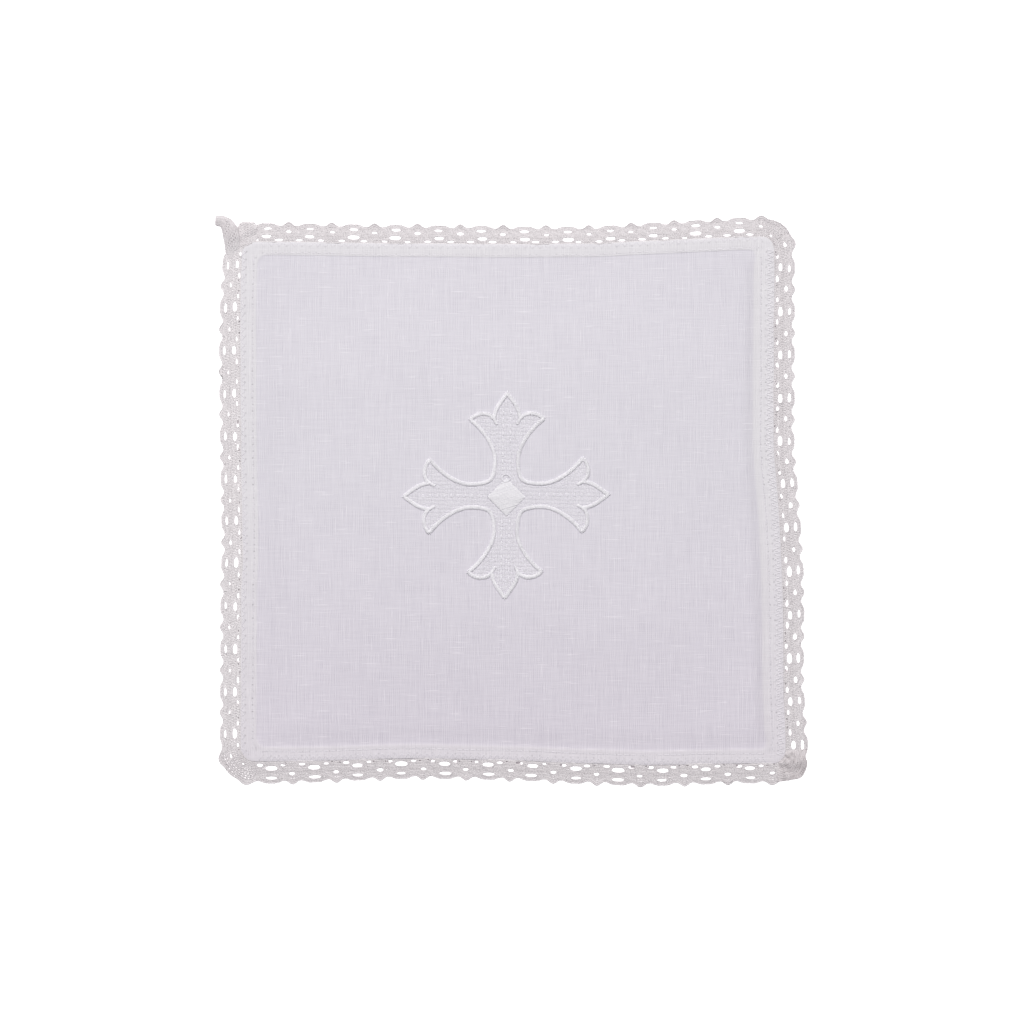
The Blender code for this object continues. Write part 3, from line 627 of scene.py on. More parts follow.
def hem_stitches(rim, material):
    """The zigzag over the hem's edge and the row of straight stitches inside it."""
    zigzag, straight = Skein("zigzag_stitch", seed=3), Skein("straight_stitch", seed=4)
    chance = np.random.default_rng(21)
    for side in SIDES:
        sewn, row = ZIGZAGS[side], HEM_SIDES[side]["row"]
        low, high = side_span(rim, side, ZIGZAG_SEWN["start"])
        turns = np.arange(low, high, sewn["half"])
        turns = turns + chance.normal(0.0, ZIGZAG_SEWN["stray"], len(turns))
        depth = np.where(np.arange(len(turns)) % 2 == 0, ZIGZAG_OUTER, sewn["inner"])
        depth = depth + chance.normal(0.0, ZIGZAG_SEWN["uneven"], len(turns))
        path = resampled(np.stack([turns, depth], axis=1), ZIGZAG_SEWN["spacing"])
        x, y, z = hem_point(rim, side, path[:, 0], path[:, 1])
        reach = sewn["inner"] - ZIGZAG_OUTER
        closeness = np.abs(2.0 * (path[:, 1] - ZIGZAG_OUTER) - reach) / reach
        lift = sewn["lift"] - ZIGZAG_SEWN["sink"] * fade(*ZIGZAG_SEWN["turn"], closeness)
        zigzag.add(np.stack([x, y, z + lift], axis=1), SEWING_RADIUS, SEWING_FLAT)
        low, high = side_span(rim, side, row)
        places = np.arange(low, high, STITCH_LENGTH / ROW_SEWN["points"])
        sway = ROW_SEWN["sway"] * np.sin(places / ROW_SEWN["sway_length"])
        x, y, z = hem_point(rim, side, places, row + sway)
        phase = np.abs((places / STITCH_LENGTH) % 1.0 - 0.5)
        lift = 0.5 * sewn["lift"] - ROW_SEWN["sink"] * (1.0 - fade(*ROW_SEWN["dip"], phase))
        straight.add(np.stack([x, y, z + lift], axis=1), SEWING_RADIUS, SEWING_FLAT)
    return [zigzag.piece(material, "linen_cover"), straight.piece(material, "linen_cover")]


class Edging:
    """The lace strip's own places: along its middle line, out from the linen, and up."""

    def __init__(self, rim):
        self.rim = rim
        middle = rim.points + LACE_MIDDLE * rim.normals
        steps = np.linalg.norm(np.roll(middle, -1, axis=0) - middle, axis=1)
        self.marks = np.concatenate([[0.0], np.cumsum(steps)])
        self.length = self.marks[-1]
        self.points = np.vstack([rim.points, rim.points[:1]])
        self.normals = np.vstack([rim.normals, rim.normals[:1]])
        self.corners = [float(self.marks[:-1][rim.side == number].min()) for number in range(4)]
        self.corners.append(self.length)
        self.bends = table_rows(CORNERS)
        for bend in self.bends:
            bend["along"] = float(self.marks[:-1][(rim.normals @ (bend["across"], bend["up"])).argmax()])
        self.repeats = self.all_repeats()
        self.middles, self.pitches, self.reaches, self.dips, self.rises = (
            np.array([row[name] for row in self.repeats])
            for name in ("along", "pitch", "reach", "dip", "picot"))
        self.gaps = self.all_gaps()

    def along_of(self, side, coordinate):
        """Place along the lace of a coordinate along one side."""
        number = SIDES.index(side)
        own = self.rim.side == number
        places = self.rim.points[own, number % 2]
        order = np.argsort(places)
        return float(np.interp(coordinate, places[order], self.marks[:-1][own][order]))

    def nearest(self, x, y):
        """Place along the lace, and distance out from the linen, of a point."""
        off = on_pall(x, y) - self.rim.points
        near = int(np.argmin((off ** 2).sum(axis=1)))
        return float(self.marks[near]), float(off[near] @ self.rim.normals[near])

    def all_repeats(self):
        repeats = []
        for number, side in enumerate(SIDES):
            row = LACE_SIDES[side]
            for index in range(LACE_REPEATS):
                coordinate = row["first"] + index * row["pitch"] + SHIFT[number % 2]
                stations = np.linspace(0.0, LACE_REPEATS - 1.0, len(row["reach"]))
                repeats.append({"along": self.along_of(side, coordinate), "pitch": abs(row["pitch"]),
                                "reach": float(np.interp(index, stations, row["reach"])),
                                "dip": row["dip"], "picot": row["picot"], "side": side})
        return repeats

    def all_gaps(self):
        """Every gap in the lace, each a little uneven in place and size."""
        uneven = np.random.default_rng(12)
        gaps = []
        for row in self.repeats:
            for gap in table_rows(LACE_GAPS):
                length, width, depth = GAP_SIZES[row["side"]][gap["name"]]
                grown = 1.0 + GAP_UNEVEN * uneven.uniform(-1.0, 1.0)
                half = 0.5 * np.array([length, width]) * grown + GAP_CLEAR
                stray = GAP_STRAY * uneven.uniform(-1.0, 1.0)
                gaps.append({"along": row["along"] + gap["shift"] * row["pitch"] + stray,
                             "out": max(row["reach"] - depth, FOOTING_BAR + half[1]),
                             "half": half, "round": gap["round"]})
        for along, out in self.shadow_spots():
            gaps.append({"along": along, "out": out, "round": SHADOW_SPOTS["round"],
                         "half": np.array(SHADOW_SPOTS["half"])})
        for row in table_rows(CORNER_GAPS):
            along, out = self.nearest(row["x"], row["y"])
            gaps.append({"along": along, "out": out, "round": CORNER_GAP_ROUND,
                         "half": np.array([0.5 * row["length"], 0.5 * row["width"]]) + GAP_CLEAR})
        return gaps

    def shadow_spots(self):
        """Small pits between the footing's gaps, on every side but the top."""
        uneven = np.random.default_rng(14)
        spots = []
        for row in self.repeats:
            for shift in SHADOW_SPOTS["shifts"]:
                stray = SHADOW_SPOTS["stray"] * uneven.uniform(-1.0, 1.0)
                if row["side"] != "top" and uneven.uniform() < SHADOW_SPOTS["chance"]:
                    out = SHADOW_SPOTS["out"] + SHADOW_SPOTS["stray_out"] * uneven.uniform(-1.0, 1.0)
                    spots.append((row["along"] + (shift + stray) * row["pitch"], out))
        return spots

    def away(self, along, place):
        """Distance along the closed strip from one place to another, with its sign."""
        return (along - place + 0.5 * self.length) % self.length - 0.5 * self.length

    def edge(self, along):
        """How far out the scalloped edge stands, with its picots."""
        along = np.asarray(along) % self.length
        off = self.away(along[:, None], self.middles[None, :])
        near = np.abs(off).argmin(axis=1)
        part = np.abs(off[np.arange(len(along)), near]) / self.pitches[near]
        reach = np.interp(along, self.middles, self.reaches, period=self.length)
        scallop = -self.dips[near] * fade(SCALLOP_FLAT, SCALLOP_VALLEY, part)
        for bend, share in zip(self.bends, self.bend_shares(along)):
            scallop = scallop + share * (bend["reach"] - scallop)
        picot = fade(0.0, 1.0, 1.0 - np.abs(part - 0.5) / PICOT_HALF_WIDTH)
        return reach + scallop, (self.dips[near] + self.rises[near]) * picot

    def bend_shares(self, along):
        """For each bend, 1 at its middle and 0 past its ends."""
        return [fade(0.0, 1.0, 1.0 - np.abs(self.away(along, bend["along"])) / bend["span"])
                for bend in self.bends]

    def painted_crowding_shade(self, along):
        """Painted shade that darkens the lace where its threads are crowded round a bend."""
        shares = self.bend_shares(np.asarray(along))
        return -sum(bend["shade"] * share for bend, share in zip(self.bends, shares))

    def place(self, along, out, height):
        along = np.asarray(along) % self.length
        spot = np.stack([np.interp(along, self.marks, column) for column in self.points.T], axis=1)
        normal = np.stack([np.interp(along, self.marks, column) for column in self.normals.T], axis=1)
        return lifted(spot + out[:, None] * normal, height)


def round_gaps(path, gaps):
    """Lead a thread round each gap that it would cross. path is along, out and height."""
    for gap in gaps:
        near = np.nonzero(np.abs(path[:, 0] - gap["along"]) < GAP_LEAD["within"] * gap["half"][0])[0]
        if len(near) < 3:
            continue
        off = (path[near, :2] - (gap["along"], gap["out"])) / gap["half"]
        reach = np.hypot(off[:, 0], off[:, 1])
        closest = int(reach.argmin())
        if reach[closest] < GAP_LEAD["least"] and 0 < closest < len(near) - 1:
            heading = off[closest + 1] - off[closest - 1]
            aside = np.array([-heading[1], heading[0]]) / max(np.hypot(*heading), 1e-9)
            if aside @ off[closest] < 0.0:
                aside = -aside
            push = GAP_LEAD["least"] - reach[closest]
            off = off + aside * push * np.exp(-GAP_LEAD["fall"] * reach ** 2)[:, None]
        size = (np.abs(off) ** gap["round"]).sum(axis=1) ** (1.0 / gap["round"])
        grown = (size ** GAP_SOFTNESS + 1.0) ** (1.0 / GAP_SOFTNESS)
        off *= (grown / np.maximum(size, 1e-6))[:, None]
        path[near, :2] = off * gap["half"] + (gap["along"], gap["out"])
    return path


def lace_side(edging, number, material):
    """One side of the lace: its lengthwise threads, its workers, its edge and its picots."""
    # each side's tone is partly painted shade: the bottom side is darker
    skein = Skein("lace_" + SIDES[number], seed=30 + number, tone=LACE_SIDES[SIDES[number]]["tone"])
    start, end = edging.corners[number], edging.corners[number + 1]
    along = np.arange(start - LACE_OVERLAP, end + LACE_OVERLAP, LACE_STEP)
    gaps = [gap for gap in edging.gaps if start - LACE_MARGIN < gap["along"] < end + LACE_MARGIN]
    scallop, picot = edging.edge(along)
    ripple = LACE_HEIGHT + LACE_RIPPLE * np.sin(2.0 * math.pi * along / LACE_RIPPLE_LENGTH)

    def lay(out, lift, radius):
        """Lay one thread from its places in the flat strip, 0 at the linen and 1 at the edge."""
        strip = np.clip(out, 0.0, 1.0)
        places = LACE_MIDDLE * 2.0 * out + (scallop - LACE_MIDDLE * 2.0) * strip ** 2
        places = places + picot * strip ** 3
        tuck = LACE_TUCK["depth"] * fade(0.0, LACE_TUCK["over"], -out)
        droop = LACE_DROOP * (0.5 - strip) - tuck
        path = round_gaps(np.stack([along, places, ripple + droop + lift], axis=1), gaps)
        path = resampled(path, LACE_SPACING)
        laid = edging.place(path[:, 0], path[:, 1], path[:, 2])
        # lace crowded round a bend is darkened as painted shade
        skein.add(laid, radius, THREAD_FLAT, taper=1.0, shade=edging.painted_crowding_shade(path[:, 0]))

    under = -LACE_UNDER_HEM / (2.0 * LACE_MIDDLE)
    spacing = (1.0 - under) / (PASSIVES - 1)
    for index in range(PASSIVES):
        turn = along / PASSIVE_SWAY["length"] + PASSIVE_SWAY["step"] * index
        sway = PASSIVE_SWAY["share"] * np.sin(turn)
        lift = PASSIVE_SWAY["lift"] * np.sin(along * PASSIVE_SWAY["turns"] + index)
        lay(under + spacing * index + sway * spacing, lift, PASSIVE_RADIUS)
    for index in range(WORKERS):
        turn = 2.0 * math.pi * (along / WORKER_TURN + index / WORKERS)
        swing = 0.5 + 0.5 * np.arcsin(WORKER_SHARP * np.sin(turn)) / math.asin(WORKER_SHARP)
        out = under + (1.0 - under) * swing
        leg = np.where(np.cos(turn) > 0.0, 1.0, -1.0)
        lay(out, leg * WORKER_LIFT * np.cos(math.pi * (out - under) / spacing), WORKER_RADIUS)
    for half in (0.0, math.pi):
        turn = 2.0 * math.pi * along / EDGE_TWIST + half
        for cord in table_rows(EDGE_CORDS):
            lay(cord["out"] + cord["sway"] * np.sin(turn), cord["lift"] * np.cos(turn), EDGE_RADIUS)
    picots(edging, skein, start, end)
    # threads under the pits, darkened as painted shadow
    part = np.linspace(-0.5, 0.5, 5)
    height = np.full(len(part), SHADOW_SPOTS["height"])
    for middle, depth in edging.shadow_spots():
        for aside in SHADOW_SPOTS["rows"] if start <= middle < end else ():
            out = np.full(len(part), depth + aside)
            laid = edging.place(middle + part * SHADOW_SPOTS["length"], out, height)
            skein.add(laid, PASSIVE_RADIUS, SHADOW_SPOTS["flat"], shade=SHADOW_SPOTS["shade"])
    return skein.piece(material, "lace_edging")


def picots(edging, skein, start, end):
    """The small looped points at the lace's edge, between the scallops."""
    part = np.linspace(-1.0, 1.0, 25)
    for middle, pitch in zip(edging.middles, edging.pitches):
        for side in (-0.5, 0.5):
            centre = middle + side * pitch
            if not start <= centre < end:
                continue
            along = centre + part * PICOT_HALF_WIDTH * pitch
            scallop, picot = edging.edge(along)
            shade = edging.painted_crowding_shade(along)
            for row in table_rows(PICOT_ROWS):
                height = np.full(len(part), LACE_HEIGHT - 0.5 * LACE_DROOP + row["lift"])
                laid = edging.place(along, scallop + picot + row["inset"], height)
                skein.add(laid, PASSIVE_RADIUS, THREAD_FLAT, taper=1.0, shade=shade)


def lace_loose_end(material):
    """The rolled end of the lace that stands out past the top left corner."""
    skein = Skein("lace_loose_end", seed=41, tone=ROLL_TONE)
    rows = table_rows(LOOSE_END)
    path = np.array([[row["x"], row["y"], row["half_width"]] for row in rows])
    path = resampled(path, ROLL_SPACING)
    path[:, :2] += SHIFT
    heading = unit(np.gradient(path[:, :2], axis=0))
    across = np.stack([heading[:, 1], -heading[:, 0]], axis=1)
    mark = np.arange(len(path)) * ROLL_SPACING
    least = ROLL_ENDS["least"]
    round_off = np.sqrt(np.clip((mark[-1] - mark + least) / ROLL_ENDS["tip"], least, 1.0))
    round_off *= np.sqrt(np.clip((mark + least) / ROLL_ENDS["base"], least, 1.0))
    half = (path[:, 2] - ROLL_SKIN["in"]) * round_off
    # painted light: the roll's lower end is lightened where it falls into shade
    over, base = ROLL_START["over"], ROLL_ENDS["base"]
    shade = ROLL_START["shade"] * (1.0 - fade(base, over + base, mark))
    raised = ROLL_START["share"] + (1.0 - ROLL_START["share"]) * fade(0.0, over, mark)

    def wound(turn):
        """A thread's places round the roll, from how far round it is at each point."""
        swell = (ROLL_FLAT * half - ROLL_SKIN["flat"]) * np.sin(turn)
        height = ROLL_SKIN["floor"] + raised * (ROLL_FLAT * path[:, 2] + swell)
        spots = path[:, :2] + (half * np.cos(turn))[:, None] * across
        return lifted(spots, np.maximum(height, ROLL_SKIN["lowest"]))

    core = lifted(path[:, :2], ROLL_SKIN["floor"] + raised * ROLL_FLAT * path[:, 2])
    skein.add(core, ROLL_CORE["width"] * half, ROLL_CORE["flat"] * ROLL_FLAT * raised, shade=shade)
    for index in range(ROLL_PASSIVES):
        sway = ROLL_SKIN["sway"] * np.sin(mark * ROLL_SKIN["sway_turns"] + index)
        turn = 2.0 * math.pi * index / ROLL_PASSIVES + sway
        skein.add(wound(turn), PASSIVE_RADIUS, THREAD_FLAT, shade=shade)
    for way in (1.0, -1.0):
        for index in range(ROLL_WORKERS):
            turn = way * mark / ROLL_TURN + 2.0 * math.pi * index / ROLL_WORKERS
            skein.add(wound(turn) + (0, 0, ROLL_SKIN["lift"]), WORKER_RADIUS, THREAD_FLAT, shade=shade)
    return skein.piece(material, "lace_edging")


def lace_bunch(material):
    """The crowded start of the lace, drawn up over the hem's top left corner."""
    skein = Skein("lace_bunch", seed=60, tone=BUNCH["tone"])
    centre = on_pall(BUNCH["x"], BUNCH["y"])
    halves = np.array([BUNCH["half_length"], BUNCH["half_width"]])
    steps = np.arange(-halves.max(), halves.max(), BUNCH["step"])
    for threads in table_rows(BUNCH_THREADS):
        lean = math.radians(threads["lean"])
        way = np.array([math.cos(lean), math.sin(lean)])
        side = np.array([-way[1], way[0]])
        for offset in np.arange(-halves.max(), halves.max(), threads["spacing"]):
            offset = offset + skein.chance.normal(0.0, BUNCH["stray"])
            spots = offset * side + steps[:, None] * way
            inside = (np.abs(spots / halves) ** BUNCH["square"]).sum(axis=1)
            spots, inside = spots[inside < 1.0], inside[inside < 1.0]
            if len(spots) < BUNCH["least"]:
                continue
            fold = BUNCH["fold"] * np.sin(spots @ BUNCH["fold_turns"])
            rise = (BUNCH["height"] - BUNCH["sink"]) * (1.0 - inside) ** 0.5
            height = BUNCH["floor"] + rise * (1.0 + fold)
            height += BUNCH["weave"] * np.cos(BUNCH["weave_turns"] * (spots @ side + spots @ way))
            height += BUNCH["over"] if lean else 0.0
            path = lifted(spots @ spin(-BUNCH["turn"]) + centre, height)
            skein.add(resampled(path, BUNCH["spacing"]), threads["radius"], BUNCH["flat"])
    return skein.piece(material, "lace_edging")


def lace_fold(edging, material):
    """The lace eased round the bottom right corner, its threads crowded into soft ridges and darkened as
    painted shade.
    """
    skein = Skein("lace_fold", seed=61, tone=FOLD["tone"])
    corner = edging.bends[FOLDED_CORNER]["along"]
    start, end = corner - FOLD["before"], corner + FOLD["after"]

    def ends_of(along):
        """0 at the two ends of the crowded lace and 1 between them."""
        return fade(0.0, FOLD["ends"], along - start) * fade(0.0, FOLD["ends"], end - along)

    def wave(name, along, out):
        """One even wave over the crowded lace."""
        turns = FOLD_WAVES[name]
        return np.sin(turns[0] * along + turns[1] * out)

    def laid(along, share, wobble, weave, radius):
        """Lay one thread over the ridges, which sink to the plain lace at both ends."""
        scallop, picot = edging.edge(along)
        out = -FOLD["in"] + share * (scallop + picot + FOLD["in"]) + wobble
        wide = FOLD_RIDGES["wide"] * wave("wide", along - corner, out)
        fine = FOLD_RIDGES["fine"] * wave("fine", along, out)
        ridges = FOLD_RIDGES["even"] + wide + fine
        ridges = FOLD_RIDGES["least"] + (1.0 - FOLD_RIDGES["least"]) * ridges
        rise = ends_of(along) * FOLD["height"] * ridges
        rise = rise * fade(0.0, FOLD_RIDGES["over"], out + FOLD_RIDGES["in"])
        one, other = (np.sin(turns[0] * along + turns[1] * out) for turns in FOLD_WAVES["mottle"])
        # painted shade: lighter towards the fold's ends, mottled between them
        shade = FOLD_SHADE["ends"] * (1.0 - ends_of(along)) + FOLD_SHADE["mottle"] * one * other
        path = edging.place(along, out, LACE_HEIGHT + rise + weave)
        path = resampled(lifted(path, shade), FOLD["laid"])
        skein.add(path[:, :3], radius, FOLD["flat"], shade=path[:, 3])

    along = np.arange(start, end, FOLD["step"])
    for index in range(FOLD["threads"]):
        share = index / (FOLD["threads"] - 1)
        wobble = FOLD["wobble"] * wave("wobble", along, index) * (1.0 - share ** 4)
        turn = FOLD_WAVES["weave"][0] * along + FOLD_WAVES["weave"][1] * index
        laid(along, share, wobble, FOLD["weave"] * np.cos(turn), PASSIVE_RADIUS)
    share = np.linspace(0.0, 1.0, FOLD["cross_points"])
    weave = FOLD["cross_weave"] * np.cos(math.pi * share * (FOLD["threads"] - 1))
    for middle in np.arange(start + FOLD["cross_in"], end - FOLD["cross_in"], FOLD["spacing"]):
        for lean in (FOLD["lean"], -FOLD["lean"]):
            laid(middle + lean * (share - 0.5), share, 0.0, weave, FOLD["cross_thin"] * WORKER_RADIUS)
    return skein.piece(material, "lace_edging")


def cubic(run, steps):
    """Points of one smooth run of the cross's outline, without its last one."""
    start, first, second, end = (np.array(point) for point in (run["from"], *run["handles"], run["to"]))
    part = np.linspace(0.0, 1.0, steps, endpoint=False)[:, None]
    rest = 1.0 - part
    return (rest ** 3 * start + 3 * rest ** 2 * part * first
            + 3 * rest * part ** 2 * second + part ** 3 * end)


def spin(degrees):
    turn = math.radians(degrees)
    return np.array([[math.cos(turn), -math.sin(turn)], [math.sin(turn), math.cos(turn)]])


def on_cross(points):
    """Places on the pall of points in the cross's own square, whose arms lean a little."""
    lean = np.array([[1.0, CROSS_LEAN["level"]], [CROSS_LEAN["upright"], 1.0]])
    return points @ lean + on_pall(*CROSS_CENTRE)


def half_arm():
    runs = [cubic(run, RUN_STEPS) for run in HALF_ARM]
    return np.concatenate(runs + [np.array([HALF_ARM[-1]["to"]])])


def cross_outline_line():
    """The cord's middle line round the whole cross, closed, clockwise from the top tip."""
    half = half_arm()
    mirrored = half[::-1, ::-1][1:]
    quarter = np.concatenate([half, mirrored])[:-1]
    return on_cross(np.concatenate([quarter @ spin(-90.0 * arm).T for arm in range(4)]))


def notch_tails():
    """The short runs of cord that go on from each notch into the petals' ground."""
    tails = []
    for arm in range(4):
        for hand in (1.0, -1.0):
            start = np.array(HALF_ARM[0]["to"])
            way = start - np.array(HALF_ARM[1]["handles"][0])
            way = way / np.linalg.norm(way)
            line = start + np.linspace(0.0, NOTCH_TAIL, 8)[:, None] * way
            line[:, 0] *= hand
            tails.append(on_cross(line @ spin(-90.0 * arm).T))
    return tails


def satin(skein, rim, line, half_width, closed):
    """Satin stitches laid across a line, side by side, over their padding."""
    line = resampled(line, CORD_PITCH, closed)
    if closed:
        heading = np.roll(line, -1, axis=0) - np.roll(line, 1, axis=0)
    else:
        heading = np.gradient(line, axis=0)
    heading = unit(heading)
    slant = SATIN["slant"] + SATIN["slant_stray"] * skein.chance.normal(size=(len(line), 1))
    across = np.stack([-heading[:, 1], heading[:, 0]], axis=1) + slant * heading
    half = half_width * (1.0 + SATIN["width_stray"] * skein.chance.normal(size=len(line)))
    parts = np.array(SATIN_PARTS)
    rise = CORD_RISE * (1.0 - np.abs(parts) ** SATIN["crown"])
    spots = line[:, None, :] + (half[:, None] * parts)[..., None] * across[:, None, :]
    stray = SATIN["height_stray"] * skein.chance.normal(size=(len(line), 1))
    height = cloth_level(rim, spots) + rise + stray
    skein.add(lifted(spots, height), CORD_THREAD)


def cross_cord(rim, material):
    """The satin cord round the cross, its tails in the notches and the loop above the lozenge."""
    skein = Skein("cross_cord", seed=51)
    satin(skein, rim, cross_outline_line(), 0.5 * CORD_WIDTH, True)
    for tail in notch_tails():
        satin(skein, rim, tail, NOTCH_WIDTH * CORD_WIDTH, False)
    turn = np.linspace(0.0, 2.0 * math.pi, 20)
    ring = TOP_LOOP["radius"] * np.column_stack([np.cos(turn), np.sin(turn)])
    loop = on_pall(TOP_LOOP["x"], TOP_LOOP["y"]) + ring
    skein.add(lifted(loop, cloth_level(rim, loop) + TOP_LOOP["lift"]), TOP_LOOP["thread"])
    return skein.piece(material, "cross_outline")


def inside_outline(points, outline):
    """True for the points that lie inside a closed outline."""
    count = np.zeros(len(points), int)
    for (x0, y0), (x1, y1) in zip(outline, np.roll(outline, -1, axis=0)):
        crosses = (y0 > points[:, 1]) != (y1 > points[:, 1])
        if crosses.any():
            at = x0 + (points[:, 1] - y0) * (x1 - x0) / (y1 - y0 + 1e-12)
            count += crosses & (points[:, 0] < at)
    return count % 2 == 1


def distance_to(points, line):
    """Distance of each point from the nearest point of a fine line."""
    best = np.full(len(points), np.inf)
    for start in range(0, len(line), 64):
        off = points[:, None, :] - line[None, start:start + 64, :]
        best = np.minimum(best, (off ** 2).sum(axis=2).min(axis=1))
    return np.sqrt(best)


def cross_ground(rim, material):
    """Rows of short filling stitches whose needle holes line up in a fine grid."""
    skein = Skein("cross_filling", ring=4, seed=52)
    outline = cross_outline_line()
    columns = np.arange(-CROSS_REACH, CROSS_REACH, GROUND_STITCH)
    rows = np.arange(-CROSS_REACH, CROSS_REACH, GROUND_ROW)
    along, level = np.meshgrid(columns, rows, indexing="ij")
    middles = np.stack([along.ravel() + 0.5 * GROUND_STITCH, level.ravel()], axis=1)
    clear = np.abs(middles - LOZENGE_SHIFT).sum(axis=1) > LOZENGE_HALF + GROUND_CLEAR["lozenge"]
    middles = middles[clear]
    placed = on_cross(middles)
    off = distance_to(placed, resampled(outline, CORD_PITCH, closed=True))
    kept = inside_outline(placed, outline) & (off > 0.5 * CORD_WIDTH + GROUND_CLEAR["cord"])
    middles = middles[kept]
    jitter = skein.chance.normal(0.0, GROUND_STRAY, (len(middles), 1, 2))
    parts = np.array([-0.5, -0.25, 0.25, 0.5])
    spots = np.zeros((len(middles), len(parts), 2))
    spots[..., 0] = middles[:, None, 0] + parts * GROUND_STITCH
    spots[..., 1] = middles[:, None, 1]
    spots = on_cross(spots + jitter)
    height = cloth_level(rim, spots) + GROUND_LIFT * np.array([-1.0, 1.0, 1.0, -1.0])
    skein.add(lifted(spots, height), GROUND_THREAD, flat=0.5, taper=0.8)
    reaches = np.arange(SPINE["from"], SPINE["to"], SPINE["pitch"])
    stitch = np.linspace(-1.0, 1.0, 5)[:, None] * np.array([0.0, 1.0])
    for row in table_rows(SPINE_ROWS):
        middles = np.column_stack([np.full(len(reaches), row["aside"] * SPINE["aside"]), reaches])
        middles = on_cross(middles @ spin(-90.0 * row["arm"]).T)
        spots = middles[:, None, :] + SPINE["half"] * stitch
        height = cloth_level(rim, spots) + SPINE["lift"] * np.array([0.0, 0.8, 1.0, 0.8, 0.0])
        skein.add(lifted(spots, height), GROUND_THREAD, taper=0.8, shade=1.0)
    return skein.piece(material, "cross_ground")


def cross_lozenge(rim, material):
    """The satin lozenge: slanting threads laid side by side over a crowned padding."""
    skein = Skein("cross_satin_lozenge", seed=53)
    slant = math.radians(LOZENGE_SLANT)
    way = np.array([math.cos(slant), math.sin(slant)])
    side = np.array([-way[1], way[0]])
    thread = LOZENGE_THREAD
    steps = np.linspace(-LOZENGE_HALF * 1.6, LOZENGE_HALF * 1.6, thread["steps"])
    for offset in np.arange(-LOZENGE_HALF * 1.1, LOZENGE_HALF * 1.1, LOZENGE_PITCH):
        offset = offset + skein.chance.normal(0.0, LOZENGE_STRAY)
        spots = offset * side + steps[:, None] * way
        inside = np.abs(spots).sum(axis=1) / LOZENGE_HALF
        spots, inside = spots[inside < 1.0], inside[inside < 1.0]
        if len(spots) < thread["least"]:
            continue
        spots = on_cross(spots + LOZENGE_SHIFT)
        crown = LOZENGE_CROWN * np.clip(1.0 - inside, 0.0, 1.0) ** LOZENGE_ROUND
        path = resampled(lifted(spots, cloth_level(rim, spots) + crown), thread["spacing"])
        skein.add(path, thread["radius"], thread["flat"])
    return skein.piece(material, "cross_lozenge")


class Nodes:
    """Shader nodes of one tree, made and joined in short lines."""

    def __init__(self, tree):
        self.tree = tree

    def add(self, kind, settings=(), **inputs):
        """A new node. An input goes by its socket's name, or by i and its socket's number."""
        made = self.tree.nodes.new("ShaderNode" + kind)
        for name, value in dict(settings).items():
            setattr(made, name, value)
        for name, value in inputs.items():
            self.feed(made, name, value)
        return made

    def feed(self, made, name, value):
        number = name[1:]
        socket = made.inputs[int(number) if number.isdigit() else name.replace("_", " ")]
        if isinstance(value, bpy.types.NodeSocket):
            self.tree.links.new(value, socket)
        else:
            socket.default_value = value

    def math(self, operation, one, other=0.0, third=0.0):
        return self.add("Math", {"operation": operation}, i0=one, i1=other, i2=third).outputs[0]

    def plus(self, one, other):
        return self.math("ADD", one, other)

    def less(self, one, other):
        return self.math("SUBTRACT", one, other)

    def times(self, one, other, third=None):
        """One times the other, plus the third where there is one."""
        if third is None:
            return self.math("MULTIPLY", one, other)
        return self.math("MULTIPLY_ADD", one, other, third)

    def scaled(self, vector, scale):
        """Coordinates or a colour, each of its numbers times its own amount."""
        return self.add("VectorMath", {"operation": "MULTIPLY"}, i0=vector, i1=scale).outputs[0]

    def noise(self, vector, scale=1.0, detail=2.0, roughness=0.5):
        made = self.add("TexNoise", Vector=vector, Scale=scale, Detail=detail, Roughness=roughness)
        return made.outputs["Fac"]

    def place(self):
        """A point's place on the pall in metres."""
        return self.add("TexCoord").outputs["Object"]

    def mark(self, label):
        """What the mesh says of a point under one name."""
        return self.add("Attribute", {"attribute_name": label}).outputs["Fac"]

    def ramp(self, value, low, high):
        """0 at low, 1 at high and even between them."""
        return self.add("MapRange", Value=value, From_Min=low, From_Max=high).outputs[0]

    def mixed(self, share, low, high, clamp=True):
        """A colour between two others."""
        settings = {"data_type": "RGBA", "clamp_factor": clamp}
        return self.add("Mix", settings, i0=share, i6=low, i7=high).outputs[2]


def new_group(name, inputs, outputs):
    """An empty shader group with its named inputs and outputs."""
    group = bpy.data.node_groups.new(name, "ShaderNodeTree")
    for label, value in inputs.items():
        socket = group.interface.new_socket(label, in_out="INPUT", socket_type="NodeSocketFloat")
        socket.default_value = value
    for label in outputs:
        group.interface.new_socket(label, in_out="OUTPUT", socket_type="NodeSocketFloat")
    nodes = Nodes(group)
    return group, nodes, group.nodes.new("NodeGroupInput"), group.nodes.new("NodeGroupOutput")


